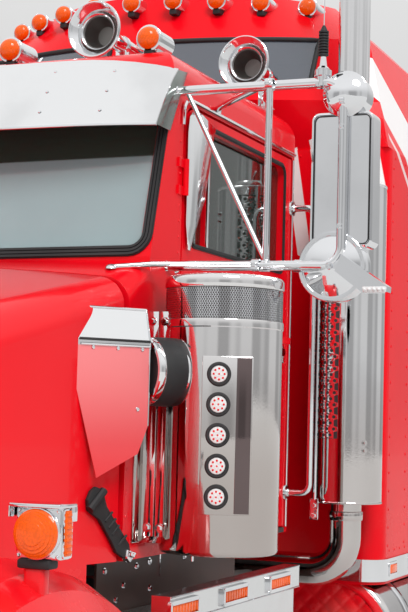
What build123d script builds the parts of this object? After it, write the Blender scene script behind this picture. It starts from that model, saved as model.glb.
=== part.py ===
from build123d import *
import math
import os

# Semi truck tractor unit with a long bonnet, day cab, separate raised-roof sleeper and twin drive axles.
# Sizes in millimetres. x runs to the truck's left, z up. A station is the distance behind the bumper's face.

# Overall
length = 8200
front_axle = 900
drive_axles = (6240, 7560)
axle_height = 520
running_gap = 0.3

# Wheels and tyres
tyre_radius = 520
tyre_half = 137.5
tread_half = 108
bead_radius = 290
rim_half = 130
rim_wall = 28
flange_radius = 305
flange_wall = 10
front_wheel_x = 1030
outer_wheel_x = 1081
inner_wheel_x = 738
disc_wall = 18
hub_radius = 110
drum_radius = 205
drum_wall = 15
hand_hole_radius = 30
hand_hole_ring = 180
hand_holes = 10

# Steering
kingpin_x = 890
kingpin_radius = 18
boss_radius = 48
boss_bottom = 430
boss_top = 590
yoke_gap = 6
yoke_height = 44
yoke_radius = 55
spindle_radius = 40
steer_arm = 130
arm_wall = 30
tie_rod_radius = 16
tie_rod_x = 855

# Frame
rail_outer = 432
rail_inner = 350
rail_bottom = 750
rail_top = 1020
rail_web = 10
rail_front = 460
tail_overhang = 50
rail_end = length - tail_overhang
cross_stations = (480, 1760, 3250, 4600, 5500, 6900, 8060)
cross_width = 80
cross_bottom = 860

# Bumper and its horns
bumper_wall = 10
bumper_bottom = 300
bumper_top = 680
bumper_flat = 700
bumper_half = 1200
bumper_sweep = 220
horn_inner = 352
horn_outer = 420
horn_bottom = 560
horn_top = 700
horn_end = 620
tow_station = 60
tow_radius = 19

# Bonnet
pivot_station = 150
pivot_height = 740
pivot_radius = 12
nose_station = 220
nose_bottom = 765
nose_depth = 200
hood_rear = 1830
hood_wall = 12
hood_side_bottom = 1060
hood_rear_bottom = 1240
hood_rear_cut = 1700
arch_radius = 640
cab_half = 880
side_step = 8
# Bonnet sections: station, half width, height at the sides, height in the middle, shoulder radius
hood_sections = (
    (nose_station, 480, 1685, 1708, 130),
    (900, 650, 1838, 1868, 130),
    (hood_rear, cab_half - side_step, 2078, 2130, 92),
)
grille_half = 400
grille_bottom = 860
grille_top = 1600
grille_bars = 21
grille_bar = 10

# Fenders
fender_wall = 10
fender_inner_x = 400
fender_outer_x = 1215
fender_crown = 800
fender_front_angle = 18
fender_rear_angle = 5

# Deflector plates on the bonnet's shoulders, ahead of the air cleaners' boots
deflector_foot = (800, 1600)
deflector_tail = (966, 1819)
deflector_bottom = 1490
deflector_fold = 1890
deflector_top = 1985
deflector_lean = 30
deflector_wall = 4

# Cab
cab_wall = 30
cab_seam = 20
cab_front = hood_rear + cab_seam
cab_bottom = 1240
cab_back = 3300
screen_foot = (1985, 2165)
screen_head = (2125, 2700)
# Cowl sections: station, half width, height at the sides, height in the middle, shoulder radius
cowl_sections = (
    (cab_front, cab_half, 2082, 2133, 92),
    (screen_foot[0], cab_half, 2150, screen_foot[1], 40),
)
door_line = 2215
rail_line = 2700
roof_height = 2870
roof_round = 95
glass_wall = 6
screen_edge = 40
screen_half = cab_half - screen_edge
screen_post = 20
screen_bottom = 2195
screen_top = 2640
visor_over = 50
visor_bow = 9000
visor_wall = 8

# Doors
door_gap = 10
door_wall = 60
door_bottom = cab_bottom + 25
door_top = rail_line - door_gap
door_corner = 80
window_corner = 35
door_window = (2290, 3185, 2240, 2648)
vent_post = 2445
hinge_out = 10
hinge_x = cab_half + hinge_out
hinge_station = 2220
hinge_radius = hinge_x - cab_half - running_gap
hinge_pin_radius = 5
hinge_heights = (1350, 1900, 2450)
hinge_half = 30
hinge_leaf = 6

# Sleeper
sleeper_front = 3620
sleeper_back = 5150
sleeper_half = 1165
sleeper_wall = 30
sleeper_bottom = 1020
sleeper_eave = 2800
bunk_floor = 1125
sleeper_round = 90
# Raised roof sections: height, half width, front at the middle, front at the sides, back
roof_sections = (
    (sleeper_eave, sleeper_half, sleeper_front - 2, sleeper_front + 20, sleeper_back),
    (sleeper_eave + 200, sleeper_half - 55, sleeper_front - 190, sleeper_front + 80, sleeper_back),
    (sleeper_eave + 500, sleeper_half - 145, sleeper_front - 70, sleeper_front + 210, sleeper_back - 30),
    (sleeper_eave + 750, sleeper_half - 405, sleeper_front + 80, sleeper_front + 530, sleeper_back - 150),
)
roof_lamp_height = sleeper_eave + 687
roof_window = (70, 830, sleeper_eave + 270, sleeper_eave + 490)
walk_half = 400
walk_bottom = 1290
walk_top = 2450

# Things on the sides
stack_x = 1066
stack_station = 3466
stack_radius = 63.5
stack_top = 4050
shield_radius = 141
shield_bottom = 1355
shield_top = 2607
cleaner_x = 1100
cleaner_station = 2065
cleaner_radius = 183
cleaner_bottom = 1264
cleaner_top = 2101
cleaner_ring = 38
cleaner_screen = 98
cleaner_lip = 20
cleaner_step = 6
lamp_plate_half = 84
lamp_plate_stand = 12
lamp_plate_turn = 24
lamp_plate_bottom = 1340
lamp_plate_top = 1850
boot_radius = 105
boot_height = 1805
tank_x = 922
tank_height = 765
tank_radius = 311
tank_front = 3655
tank_back = 5100
box_front = 1850
box_back = 2970
box_outer = 1030
box_bottom = 560
box_top = 1070
splash_x = 790
strip_x = 1050
strip_width = 60
strip_top = 1150
mirror_x = 1436
mirror_station = 2177
horn_height = 3009
horn_bell = 98

# Fifth wheel
coupling_station = 6750
coupling_height = 1215
coupling_radius = 460
coupling_wall = 35
coupling_pivot = 1110
kingpin_bore = 26

os.makedirs("parts", exist_ok=True)


def block(x0, x1, s0, s1, z0, z1):
    return Pos((x0 + x1) / 2, (s0 + s1) / 2, (z0 + z1) / 2) * Box(x1 - x0, s1 - s0, z1 - z0)


def mirrored(shape):
    return mirror(shape, about=Plane.YZ)


def pair(shape):
    return [shape, mirrored(shape)]


def upright(x, s, z0, z1, radius):
    return Pos(x, s, (z0 + z1) / 2) * Cylinder(radius, z1 - z0)


def across(x0, x1, s, z, radius):
    return Pos((x0 + x1) / 2, s, z) * Rot(0, 90, 0) * Cylinder(radius, x1 - x0)


def lengthwise(x, s0, s1, z, radius):
    return Pos(x, (s0 + s1) / 2, z) * Rot(90, 0, 0) * Cylinder(radius, s1 - s0)


def side_profile(points, x0, x1):
    face = make_face(Polyline(*points, close=True))
    return extrude(Plane.YZ.offset(x0) * face, x1 - x0)


def front_profile(points, s0, s1):
    face = make_face(Polyline(*points, close=True))
    return extrude(Plane.XZ.offset(-s0) * face, -(s1 - s0))


def tube(points, radius, bends):
    path = FilletPolyline(*points, radius=bends) if len(points) > 2 else Line(*points)
    start = Plane(origin=path @ 0, z_dir=path % 0)
    return sweep(start * Circle(radius), path=path)


def fused(pieces):
    whole = pieces[0]
    for piece in pieces[1:]:
        whole = whole + piece
    return whole


def save(name, solids):
    place = Pos(0, -length / 2, 0)
    moved = [place * solid for shape in solids for solid in shape.solids()]
    export_step(Compound(children=moved) if len(moved) > 1 else moved[0], "parts/" + name + ".step")


# Wheels: every piece is turned about the wheel's axis
def ring(x0, x1, inner, outer):
    return across(x0, x1, 0, 0, outer) - across(x0 - 1, x1 + 1, 0, 0, inner)


def tyre(x):
    bead = bead_radius + running_gap
    seat = rim_half - flange_wall - running_gap
    outline = (
        (-seat, bead), (-seat, flange_radius + 2), (-tyre_half, 400), (-tyre_half + 9, 490), (-tread_half, tyre_radius),
        (tread_half, tyre_radius), (tyre_half - 9, 490), (tyre_half, 400),
        (seat, flange_radius + 2), (seat, bead),
    )
    face = make_face(Polyline(*outline, close=True))
    return Pos(x, 0, 0) * revolve(face, axis=Axis.X)


def barrel(x):
    wall = ring(x - rim_half, x + rim_half, bead_radius - rim_wall, bead_radius)
    lips = [
        ring(x - rim_half, x - rim_half + flange_wall, bead_radius - 2, flange_radius),
        ring(x + rim_half - flange_wall, x + rim_half, bead_radius - 2, flange_radius),
    ]
    return fused([wall] + lips)


def disc(x0, x1):
    plate = ring(x0, x1, hub_radius - 10, bead_radius - rim_wall + 2)
    holes = PolarLocations(hand_hole_ring + drum_radius - 185, hand_holes)
    drill = Plane.YZ.offset(x0 - 1) * holes * Cylinder(hand_hole_radius, 4 * (x1 - x0))
    return plate - drill


def front_rim():
    x = front_wheel_x
    face = x + 70
    pieces = [
        barrel(x),
        disc(face, face + disc_wall),
        ring(x - 60, x + 120, spindle_radius + running_gap, hub_radius),
        across(x + 80, x + 150, 0, 0, hub_radius - 25),
        ring(x - 60, x - 40, hub_radius - 5, drum_radius),
        ring(x - 60, face, drum_radius - drum_wall, drum_radius),
    ]
    return fused(pieces)


rear_axle_radius = 60
rear_hub_end = 1000
cup_radius = bead_radius - rim_wall + 2


def rear_rim():
    middle = (outer_wheel_x + inner_wheel_x) / 2
    pieces = [
        barrel(outer_wheel_x),
        barrel(inner_wheel_x),
        disc(middle, middle + disc_wall),
        disc(middle - disc_wall, middle),
        ring(middle, outer_wheel_x - rim_half + 20, cup_radius - 12, cup_radius),
        ring(inner_wheel_x + rim_half - 20, middle, cup_radius - 12, cup_radius),
        ring(middle - 60, rear_hub_end + 20, rear_axle_radius + running_gap, hub_radius),
        across(rear_hub_end + 10, rear_hub_end + 110, 0, 0, hub_radius - 20),
        ring(middle - 60, middle - 40, hub_radius - 5, drum_radius),
        ring(inner_wheel_x - 90, middle, drum_radius - drum_wall, drum_radius),
    ]
    return fused(pieces)


front_place = Pos(0, front_axle, axle_height)
front_wheel = front_place * front_rim()
front_tyre = front_place * tyre(front_wheel_x)
save("rim_front_left", [front_wheel])
save("rim_front_right", [mirrored(front_wheel)])
save("tyre_front_left", [front_tyre])
save("tyre_front_right", [mirrored(front_tyre)])
for number, station in enumerate(drive_axles, start=1):
    rear_place = Pos(0, station, axle_height)
    rear_wheel = rear_place * rear_rim()
    rear_tyres = [rear_place * tyre(outer_wheel_x), rear_place * tyre(inner_wheel_x)]
    save(f"rim_drive{number}_left", [rear_wheel])
    save(f"rim_drive{number}_right", [mirrored(rear_wheel)])
    save(f"tyres_drive{number}_left", rear_tyres)
    save(f"tyres_drive{number}_right", [mirrored(tyre_solid) for tyre_solid in rear_tyres])


# Frame rails, crossmembers and the front horns that carry bumper and bonnet hinge
def rail():
    outline = (
        (rail_outer, rail_bottom), (rail_outer, rail_top), (rail_inner, rail_top),
        (rail_inner, rail_top - rail_web), (rail_outer - rail_web, rail_top - rail_web),
        (rail_outer - rail_web, rail_bottom + rail_web), (rail_inner, rail_bottom + rail_web),
        (rail_inner, rail_bottom),
    )
    return front_profile(outline, rail_front, rail_end)


def horn():
    low = block(horn_inner, horn_outer, bumper_wall, horn_end, horn_bottom, horn_top)
    neck = block(horn_inner, horn_outer, rail_front, horn_end, horn_top, rail_bottom)
    lug = block(horn_inner, horn_outer, pivot_station - 30, pivot_station + 30, horn_top, pivot_height + 30)
    pin_hole = across(horn_inner - 1, horn_outer + 1, pivot_station, pivot_height, pivot_radius + running_gap)
    middle = (horn_inner + horn_outer) / 2
    tow_hole = upright(middle, tow_station, horn_bottom - 1, horn_top + 1, tow_radius)
    return low + neck + lug - pin_hole - tow_hole


cross_half = rail_outer - rail_web
crossmembers = [
    block(-cross_half, cross_half, s, s + cross_width, cross_bottom, rail_top - rail_web)
    for s in cross_stations
]
save("frame_rails", pair(rail() + horn()))
save("crossmembers", crossmembers)


# Half of the bumper's plan line at a distance inside its face: straight, then swept back in an arc
def bumper_line(inset):
    reach = bumper_half - bumper_flat
    radius = (reach ** 2 + bumper_sweep ** 2) / (2 * bumper_sweep) - inset
    rise = radius - math.sqrt(radius ** 2 - (reach - inset) ** 2)
    flat = Line((0, inset), (bumper_flat, inset))
    arc = TangentArc((bumper_flat, inset), (bumper_half - inset, inset + rise), tangent=(1, 0))
    return flat + arc, (bumper_half - inset, inset + rise)


def bumper():
    outer, outer_end = bumper_line(0)
    inner, inner_end = bumper_line(bumper_wall)
    sides = Line(outer_end, inner_end) + Line((0, 0), (0, bumper_wall))
    half = extrude(Plane.XY.offset(bumper_bottom) * make_face(outer + inner + sides), bumper_top - bumper_bottom)
    return half + mirrored(half)


save("bumper", [bumper()])

# Front axle beam with kingpin bosses, leaf springs and their hangers
spring_inner = 440
spring_outer = 516
spring_front = 250
spring_back = 1550
spring_bottom = 590
spring_top = 650
beam_half = 45
beam = block(-kingpin_x, kingpin_x, front_axle - beam_half, front_axle + beam_half, 440, 530)
axle_parts = [beam]
for side in (-1, 1):
    axle_parts.append(upright(side * kingpin_x, front_axle, boss_bottom, boss_top, boss_radius))
spring = block(spring_inner, spring_outer, spring_front, spring_back, spring_bottom, spring_top)
spring_seat = block(spring_inner, spring_outer, front_axle - 60, front_axle + 60, 525, spring_bottom)
hangers = [
    block(rail_outer, spring_outer, s, s + 60, spring_bottom, 860)
    for s in (rail_front + 20, spring_back - 60)
]
front_hanger = block(horn_outer, spring_outer, spring_front, spring_front + 60, 600, 690)
axle_parts += pair(spring) + pair(spring_seat) + pair(front_hanger) + pair(hangers[1])
front_beam = fused(axle_parts)
for side in (-1, 1):
    front_beam -= upright(side * kingpin_x, front_axle, 300, 700, kingpin_radius + running_gap)
save("front_axle", [front_beam])


# Steering knuckle: yokes above and below the axle's boss, kingpin, spindle and rearward arm
def knuckle():
    low = boss_bottom - yoke_gap - yoke_height
    high = boss_top + yoke_gap
    plate_inner = kingpin_x + boss_radius + yoke_gap + 1
    yokes = []
    for z in (low, high):
        yokes.append(upright(kingpin_x, front_axle, z, z + yoke_height, yoke_radius))
        yokes.append(block(kingpin_x, plate_inner + 10, front_axle - 50, front_axle + 50, z, z + yoke_height))
    plate = block(plate_inner, plate_inner + 22, front_axle - 50, front_axle + 50, low, high + yoke_height)
    pin = upright(kingpin_x, front_axle, low, high + yoke_height, kingpin_radius)
    spindle = across(plate_inner + 10, front_wheel_x + 70, front_axle, axle_height, spindle_radius)
    arm = block(
        tie_rod_x - arm_wall, kingpin_x, front_axle, front_axle + steer_arm + arm_wall, low, low + arm_wall
    )
    return fused(yokes + [plate, pin, spindle, arm])


left_knuckle = knuckle()
save("knuckle_left", [left_knuckle])
save("knuckle_right", [mirrored(left_knuckle)])
arm_bottom = boss_bottom - yoke_gap - yoke_height
rod_height = arm_bottom - 6 - tie_rod_radius
rod_end_top = arm_bottom - running_gap
rod_station = front_axle + steer_arm
rod = across(-tie_rod_x, tie_rod_x, rod_station, rod_height, tie_rod_radius)
rod_ends = [upright(side * tie_rod_x, rod_station, rod_height - 22, rod_end_top, 24) for side in (-1, 1)]
save("tie_rod", [fused([rod] + rod_ends)])


pinion_reach = 340


# Drive axles: tube, differential bowl, trailing beams, air springs and brake chambers
def drive_axle(station):
    pieces = [across(-rear_hub_end, rear_hub_end, station, axle_height, rear_axle_radius)]
    bowl = (
        (-280, 0), (-280, rear_axle_radius), (-150, 170), (-70, 205), (70, 205), (150, 170),
        (280, rear_axle_radius), (280, 0),
    )
    turned = revolve(make_face(Polyline(*bowl, close=True)), axis=Axis.X)
    pieces.append(Pos(0, station, axle_height) * turned)
    pieces.append(lengthwise(0, station - pinion_reach, station - 50, axle_height, 95))
    arm = block(360, 424, station - 450, station + 290, 560, 620)
    hanger = block(360, 424, station - 450, station - 390, 620, rail_bottom)
    bag = upright(392, station + 190, 620, rail_bottom, 95)
    chamber = lengthwise(500, station - 270, station - 110, axle_height, 76)
    chamber += lengthwise(500, station - 200, station - 190, axle_height, 82)
    push_rod = lengthwise(500, station - 115, station - 50, axle_height, 14)
    return fused(pieces + pair(arm) + pair(hanger) + pair(bag) + pair(chamber + push_rod))


save("drive_axles", [drive_axle(station) for station in drive_axles])

# Engine, gearbox and the shaft to the drive axles, as plain masses; radiator ahead
engine = block(-330, 330, 690, 1640, 620, 1650)
gearbox = block(-200, 200, 1640, 2650, 640, 850)
shaft = across(0, 3420, 0, 0, 55)
shaft_drop = 780 - 620
shaft_angle = math.degrees(math.atan2(shaft_drop, 6040 - 2650))
shaft = Pos(0, 2640, 770) * Rot(0, 0, 90) * Rot(0, shaft_angle, 0) * shaft
save("engine", [engine + gearbox + (shaft - block(-300, 300, drive_axles[0] - pinion_reach, 6500, 300, 900))])
radiator = block(-410, 410, 580, 670, rail_top, 1600) + block(-340, 340, 580, 670, 790, rail_top)
save("radiator", [radiator])


# One section across a body: straight sides, rounded shoulders and a crowned top
def crowned_section(station, half, side_top, top, corner, wall, bottom):
    left = (half - wall, side_top - wall)
    right = (wall - half, side_top - wall)
    crown = ThreePointArc(left, (0, top - wall), right)
    sides = Polyline(right, (right[0], bottom), (left[0], bottom), left)
    face = make_face(crown + sides)
    rounded = fillet(face.vertices().group_by(Axis.Y)[-1], corner - wall)
    return Plane.XZ.offset(-station) * rounded


def crowned_body(sections, wall, front_shift, rear_shift, bottom):
    shifts = [front_shift] + [0] * (len(sections) - 2) + [rear_shift]
    faces = []
    for shift, (station, half, side_top, top, corner) in zip(shifts, sections):
        faces.append(crowned_section(station + shift, half, side_top, top, corner, wall, bottom))
    return loft(faces, ruled=True)


# Bonnet: a tapering shell over the engine with an open underside and rear
hood_outer = crowned_body(hood_sections, 0, 0, 0, nose_bottom)
hood_inner = crowned_body(hood_sections, hood_wall, hood_wall, 1, nose_bottom - 20)
wheel_bay = across(-1300, 1300, front_axle, axle_height, arch_radius)
under_cut = block(-1300, 1300, front_axle, hood_rear + 10, 700, hood_side_bottom)
rear_cut = block(-1300, 1300, hood_rear_cut, hood_rear + 10, 700, hood_rear_bottom)
hood_shell = hood_outer - hood_inner - wheel_bay - under_cut - rear_cut
low_cut = block(-1300, 1300, nose_station + nose_depth, front_axle, 700, 1000)
grille_cut = block(-grille_half, grille_half, nose_station - 10, nose_station + 40, grille_bottom, grille_top)
hood_shell = hood_shell - low_cut - grille_cut
hinge_arm = block(318, 346, pivot_station - 25, nose_station + 40, pivot_height - 25, nose_bottom + 60)
hinge_pin = across(330, horn_outer, pivot_station, pivot_height, pivot_radius)
hood_shell = fused([hood_shell] + pair(hinge_arm) + pair(hinge_pin))
save("hood", [hood_shell])


# Deflector: a plate folded over at its top, with its lower front corner cut away, on a bracket
def deflector():
    out = deflector_tail[0] - deflector_foot[0]
    back = deflector_tail[1] - deflector_foot[1]
    run = math.hypot(out, back)
    turn = math.degrees(math.atan2(out, back))
    fold = (
        (0, deflector_bottom), (0, deflector_fold), (-deflector_lean, deflector_top),
        (-deflector_lean - deflector_wall, deflector_top - 2), (-deflector_wall, deflector_fold - 2),
        (-deflector_wall, deflector_bottom),
    )
    kept = (
        (0, deflector_fold), (0, deflector_top + 1), (run, deflector_top + 1), (run, deflector_bottom + 150),
        (run - 30, deflector_bottom + 70), (113, deflector_bottom),
    )
    plate = front_profile(fold, 0, run) & side_profile(kept, -200, 200)
    placed = Pos(*deflector_foot, 0) * Rot(0, 0, -turn) * plate
    bracket = block(800, 884, deflector_foot[1] + 115, deflector_foot[1] + 125, 1690, 1760)
    return ((placed + bracket) - hood_outer).solids().sort_by(SortBy.VOLUME)[-1]


save("hood_deflectors", pair(deflector()))


# Grille: surround and upright bars in the bonnet's nose
def grille():
    depth = hood_wall
    s0 = nose_station
    frame_outer = block(-grille_half, grille_half, s0, s0 + depth, grille_bottom, grille_top)
    frame_hole = block(
        -grille_half + 25, grille_half - 25, s0 - 1, s0 + depth + 1, grille_bottom + 25, grille_top - 25
    )
    pieces = [frame_outer - frame_hole]
    pitch = (2 * grille_half - 50) / (grille_bars + 1)
    for index in range(grille_bars):
        x = -grille_half + 25 + pitch * (index + 1)
        pieces.append(block(x - grille_bar / 2, x + grille_bar / 2, s0, s0 + depth, grille_bottom, grille_top))
    pieces.append(block(-grille_half, grille_half, s0 + 2, s0 + depth, 1220, 1240))
    return fused(pieces)


save("grille", [grille()])


# Fender: a crown turned about the wheel's axis, ending at the bonnet's side
def fender():
    crown = fender_crown
    outer = fender_outer_x
    wall = fender_wall
    outline = (
        (fender_inner_x, crown), (1000, crown + 8), (1110, crown - 15), (1180, crown - 55),
        (outer, crown - 110), (outer, arch_radius), (outer - 40, arch_radius),
        (outer - 40, arch_radius + wall), (outer - wall, arch_radius + wall),
        (outer - wall, crown - 114), (1174, crown - 64), (1106, crown - 25),
        (1000, crown - 2), (fender_inner_x, crown - wall),
    )
    face = make_face(Polyline(*outline, close=True))
    sweep_angle = 180 - fender_front_angle - fender_rear_angle
    turned = revolve(face, axis=Axis.X, revolution_arc=sweep_angle)
    placed = front_place * Rot(fender_rear_angle, 0, 0) * turned
    nose_half = hood_sections[0][1]
    clear = [
        block(0, 700, 0, 1800, 500, nose_bottom),
        block(0, 700, 1500, 1800, 500, 900),
        block(0, nose_half, 0, nose_station + 1, 500, 1400),
    ]
    return placed - hood_outer - fused(clear)


# The whole body of turning under the crown, to seat lamps on
def crown_body():
    crown = fender_crown
    outer = fender_outer_x
    outline = (
        (fender_inner_x, 0), (fender_inner_x, crown), (1000, crown + 8), (1110, crown - 15),
        (1180, crown - 55), (outer, crown - 110), (outer, 0),
    )
    return front_place * revolve(make_face(Polyline(*outline, close=True)), axis=Axis.X)


left_fender = fender()
crown_solid = crown_body()
save("fenders", pair(left_fender))


# Headlamp pods beside the nose and indicator lamps on the fender crowns
def headlamp():
    pod = block(560, 860, 165, 330, 900, 1080)
    pod = fillet(pod.edges().filter_by(Axis.Y), 40)
    lamps = [lengthwise(x, 155, 170, 990, 62) for x in (640, 780)]
    return fused([pod] + lamps) - crown_solid


save("headlamps", pair(headlamp()))


def indicator():
    body = block(1072, 1192, 830, 900, 1340, 1462)
    lens = lengthwise(1132, 815, 832, 1401, 52)
    stem = block(1092, 1152, 835, 895, 1270, 1345)
    return fused([body, lens, stem]) - crown_solid


save("indicators", pair(indicator()))

# Cab: cowl with screen frame, roof, back wall, floor
screen_run = (screen_head[0] - screen_foot[0]) / (screen_head[1] - screen_foot[1])


def screen_station(z):
    return screen_foot[0] + (z - screen_foot[1]) * screen_run


cowl_rear = (
    (screen_foot[0], cab_bottom), screen_foot, screen_head, (door_line, rail_line), (door_line, cab_bottom),
)
inner_foot = screen_foot[0] + cab_wall - 8
ceiling = roof_height - 80
cowl_rear_inside = (
    (inner_foot, cab_bottom - 50), (inner_foot, screen_foot[1] - cab_wall),
    (screen_station(ceiling) + cab_wall, ceiling), (door_line + 50, ceiling), (door_line + 50, cab_bottom - 50),
)
cowl = crowned_body(cowl_sections, 0, 0, 0, cab_bottom) + side_profile(cowl_rear, -cab_half, cab_half)
cowl -= side_profile(cowl_rear_inside, -cab_half + cab_wall, cab_half - cab_wall)
cowl -= crowned_body(cowl_sections, cab_wall, cab_wall, cab_wall, cab_bottom - 50)
# The frame fills the corner ahead of the door's rounded corner
gusset_radius = door_corner + door_gap
gusset = block(
    cab_half - cab_wall, cab_half, door_line - 1, door_line + gusset_radius, rail_line - gusset_radius, rail_line
)
gusset -= across(
    cab_half - cab_wall - 1, cab_half + 1, door_line + gusset_radius, rail_line - gusset_radius, gusset_radius
)
cowl = cowl + gusset + mirrored(gusset)
screen_hole = block(screen_post, screen_half, 1900, 2200, screen_bottom, screen_top)
cowl = cowl - screen_hole - mirrored(screen_hole)


# Door hinges: the cowl holds an upper and a lower barrel, the door a middle one with the pin
def cowl_hinge(z):
    barrels = []
    for z0 in (z - 2 * hinge_half, z + hinge_half):
        barrel_part = upright(hinge_x, hinge_station, z0, z0 + hinge_half, hinge_radius)
        leaf = block(cab_half, cab_half + hinge_leaf, hinge_station - 45, hinge_station, z0, z0 + hinge_half)
        barrels.append(barrel_part + leaf)
    bore = upright(hinge_x, hinge_station, z - 80, z + 80, hinge_pin_radius + running_gap)
    return [barrel_part - bore for barrel_part in barrels]


def door_hinge(z):
    reach = hinge_half - running_gap
    barrel_part = upright(hinge_x, hinge_station, z - reach, z + reach, hinge_radius)
    pin = upright(hinge_x, hinge_station, z - 55, z + 55, hinge_pin_radius)
    leaf = block(cab_half, cab_half + hinge_leaf, hinge_station + 2, hinge_station + 45, z - reach, z + reach)
    return fused([barrel_part, pin, leaf])


hinge_parts = [piece for z in hinge_heights for piece in cowl_hinge(z)]
cowl = fused([cowl] + hinge_parts + [mirrored(piece) for piece in hinge_parts])
save("cab_cowl", [cowl])

glass_in = 12
pane_outline = (
    (screen_station(screen_bottom) + glass_in, screen_bottom),
    (screen_station(screen_top) + glass_in, screen_top),
    (screen_station(screen_top) + glass_in + glass_wall, screen_top),
    (screen_station(screen_bottom) + glass_in + glass_wall, screen_bottom),
)
pane = side_profile(pane_outline, screen_post, screen_half)
save("windshield", pair(pane))

roof_front = screen_head[0]
roof = block(-cab_half, cab_half, roof_front, cab_back, rail_line, roof_height)
roof = fillet(roof.edges().group_by(Axis.Z)[-1], roof_round)
roof_hollow = block(
    -cab_half + cab_wall, cab_half - cab_wall, roof_front + cab_wall, cab_back - cab_wall,
    rail_line - 1, roof_height - cab_wall,
)
roof_hollow = fillet(roof_hollow.edges().group_by(Axis.Z)[-1], roof_round - cab_wall)
save("cab_roof", [roof - roof_hollow])

back = block(-cab_half, cab_half, cab_back - cab_wall, cab_back, cab_bottom, rail_line)
walk_way = block(-walk_half, walk_half, cab_back - 100, sleeper_front + 100, walk_bottom, walk_top)
save("cab_back", [back - walk_way])

floor_top = cab_bottom + 40
sill_top = cab_bottom + 18
floor_half = cab_half - door_wall - door_gap
floor = block(-floor_half, floor_half, cab_front + cab_wall, cab_back - cab_wall, cab_bottom, floor_top)
sill = block(-cab_half, cab_half, door_line, cab_back - cab_wall, cab_bottom, sill_top)
mounts = [block(rail_inner, rail_outer, s, s + 80, rail_top, cab_bottom) for s in (cab_front + 60, cab_back - 150)]
save("cab_floor", [fused([floor, sill] + pair(mounts[0]) + pair(mounts[1]))])

boot_wall = 25
boot = block(-walk_half - boot_wall, walk_half + boot_wall, cab_back, sleeper_front, walk_bottom - boot_wall,
             walk_top + boot_wall)
save("sleeper_boot", [boot - walk_way])

# Sun visor across the top of the screen: a curved band turned about an upright axis far behind
visor_front = (1930, 2585)
visor_middle = (2000, 2716)
visor_edge = (2088, 2833)
visor_half = cab_half + visor_over


def visor_band():
    drop = (visor_wall, -2)
    inner = [(s + drop[0], z + drop[1]) for s, z in (visor_edge, visor_middle, visor_front)]
    outline = ThreePointArc(visor_front, visor_middle, visor_edge) + Line(visor_edge, inner[0])
    outline = outline + ThreePointArc(*inner) + Line(inner[2], visor_front)
    face = Plane.YZ * make_face(outline)
    centre = visor_front[0] + visor_bow
    sweep_angle = math.degrees(math.asin(visor_half / visor_bow))
    start = Pos(0, centre, 0) * Rot(0, 0, -sweep_angle) * Pos(0, -centre, 0) * face
    return revolve(start, axis=Axis((0, centre, 0), (0, 0, 1)), revolution_arc=2 * sweep_angle)


visor_solid = visor_band()
for stay_x in (-600, 0, 600):
    stay_front = 2050 + stay_x ** 2 / (2 * visor_bow)
    visor_solid = visor_solid + block(stay_x - 4, stay_x + 4, stay_front, screen_head[0], 2740, 2775)
save("visor", [visor_solid])


def window_hole():
    w0, w1, z0, z1 = door_window
    hole = block(cab_half - door_wall - 1, cab_half + 1, w0, w1, z0, z1)
    return fillet(hole.edges().filter_by(Axis.X), window_corner)


# Doors, hinged at the front edge
def door():
    s0 = door_line + door_gap
    s1 = cab_back - cab_wall - door_gap
    panel = block(cab_half - door_wall, cab_half, s0, s1, door_bottom, door_top)
    top_edges = panel.edges().filter_by(Axis.X).group_by(Axis.Z)[-1]
    panel = fillet(top_edges.sort_by(Axis.Y)[0], door_corner)
    z0, z1 = door_window[2:]
    post = block(cab_half - door_wall + 10, cab_half - 10, vent_post - 10, vent_post + 10, z0, z1)
    grip = block(cab_half, cab_half + 38, s1 - 210, s1 - 190, 1960, 1985)
    grip += block(cab_half, cab_half + 38, s1 - 90, s1 - 70, 1960, 1985)
    grip += block(cab_half + 22, cab_half + 38, s1 - 210, s1 - 70, 1960, 1985)
    return fused([panel - window_hole() + post + grip] + [door_hinge(z) for z in hinge_heights])


def door_glass():
    w0, w1, z0, z1 = door_window
    middle = cab_half - door_wall / 2
    vent = block(middle - glass_wall / 2, middle + glass_wall / 2, w0, vent_post - 10, z0, z1)
    main = block(middle - glass_wall / 2, middle + glass_wall / 2, vent_post + 10, w1, z0, z1)
    return [vent & window_hole(), main & window_hole()]


save("door_left", [door()])
save("door_right", [mirrored(door())])
save("door_glass_left", door_glass())
save("door_glass_right", [mirrored(pane_solid) for pane_solid in door_glass()])


# Seats, dashboard and steering wheel
def seat():
    pedestal = block(330, 570, 2680, 3000, floor_top, 1560)
    cushion = fillet(block(195, 705, 2560, 3060, 1560, 1690).edges(), 35)
    rest = fillet(block(205, 695, 3050, 3180, 1640, 2420).edges(), 40)
    return pedestal + cushion + rest


save("seats", pair(seat()))
dash_points = ((2035, 1700), (2035, 2120), (2250, 2130), (2330, 1960), (2290, 1700))
dash_side = cab_half - cab_wall - running_gap
dash_root = block(-dash_side, dash_side, 2035, door_line - door_gap, 1720, 2100)
dash_solid = side_profile(dash_points, -floor_half, floor_half) + dash_root
save("dashboard", [dash_solid])

wheel_x = 430
wheel_at = Pos(wheel_x, 2440, 2040) * Rot(-55, 0, 0)
steer_rim = wheel_at * Torus(225, 15)
steer_hub = wheel_at * Cylinder(60, 40)
steer_spokes = [wheel_at * Rot(0, 0, 60 + 120 * k) * Pos(120, 0, 0) * Box(230, 26, 12) for k in range(3)]
column = wheel_at * Pos(0, 0, -90) * Cylinder(28, 190)
steer_all = fused([steer_rim, steer_hub] + steer_spokes + [column])
save("steering_wheel", [(steer_all - dash_solid).solids().sort_by(SortBy.VOLUME)[-1]])


# Sleeper: rounded box of walls parted into front, sides and rear, with a raised roof above
def sleeper_tube(wall):
    half = sleeper_half - wall
    box_solid = block(-half, half, sleeper_front + wall, sleeper_back - wall, sleeper_bottom, sleeper_eave)
    return fillet(box_solid.edges().filter_by(Axis.Z), sleeper_round - wall)


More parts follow.
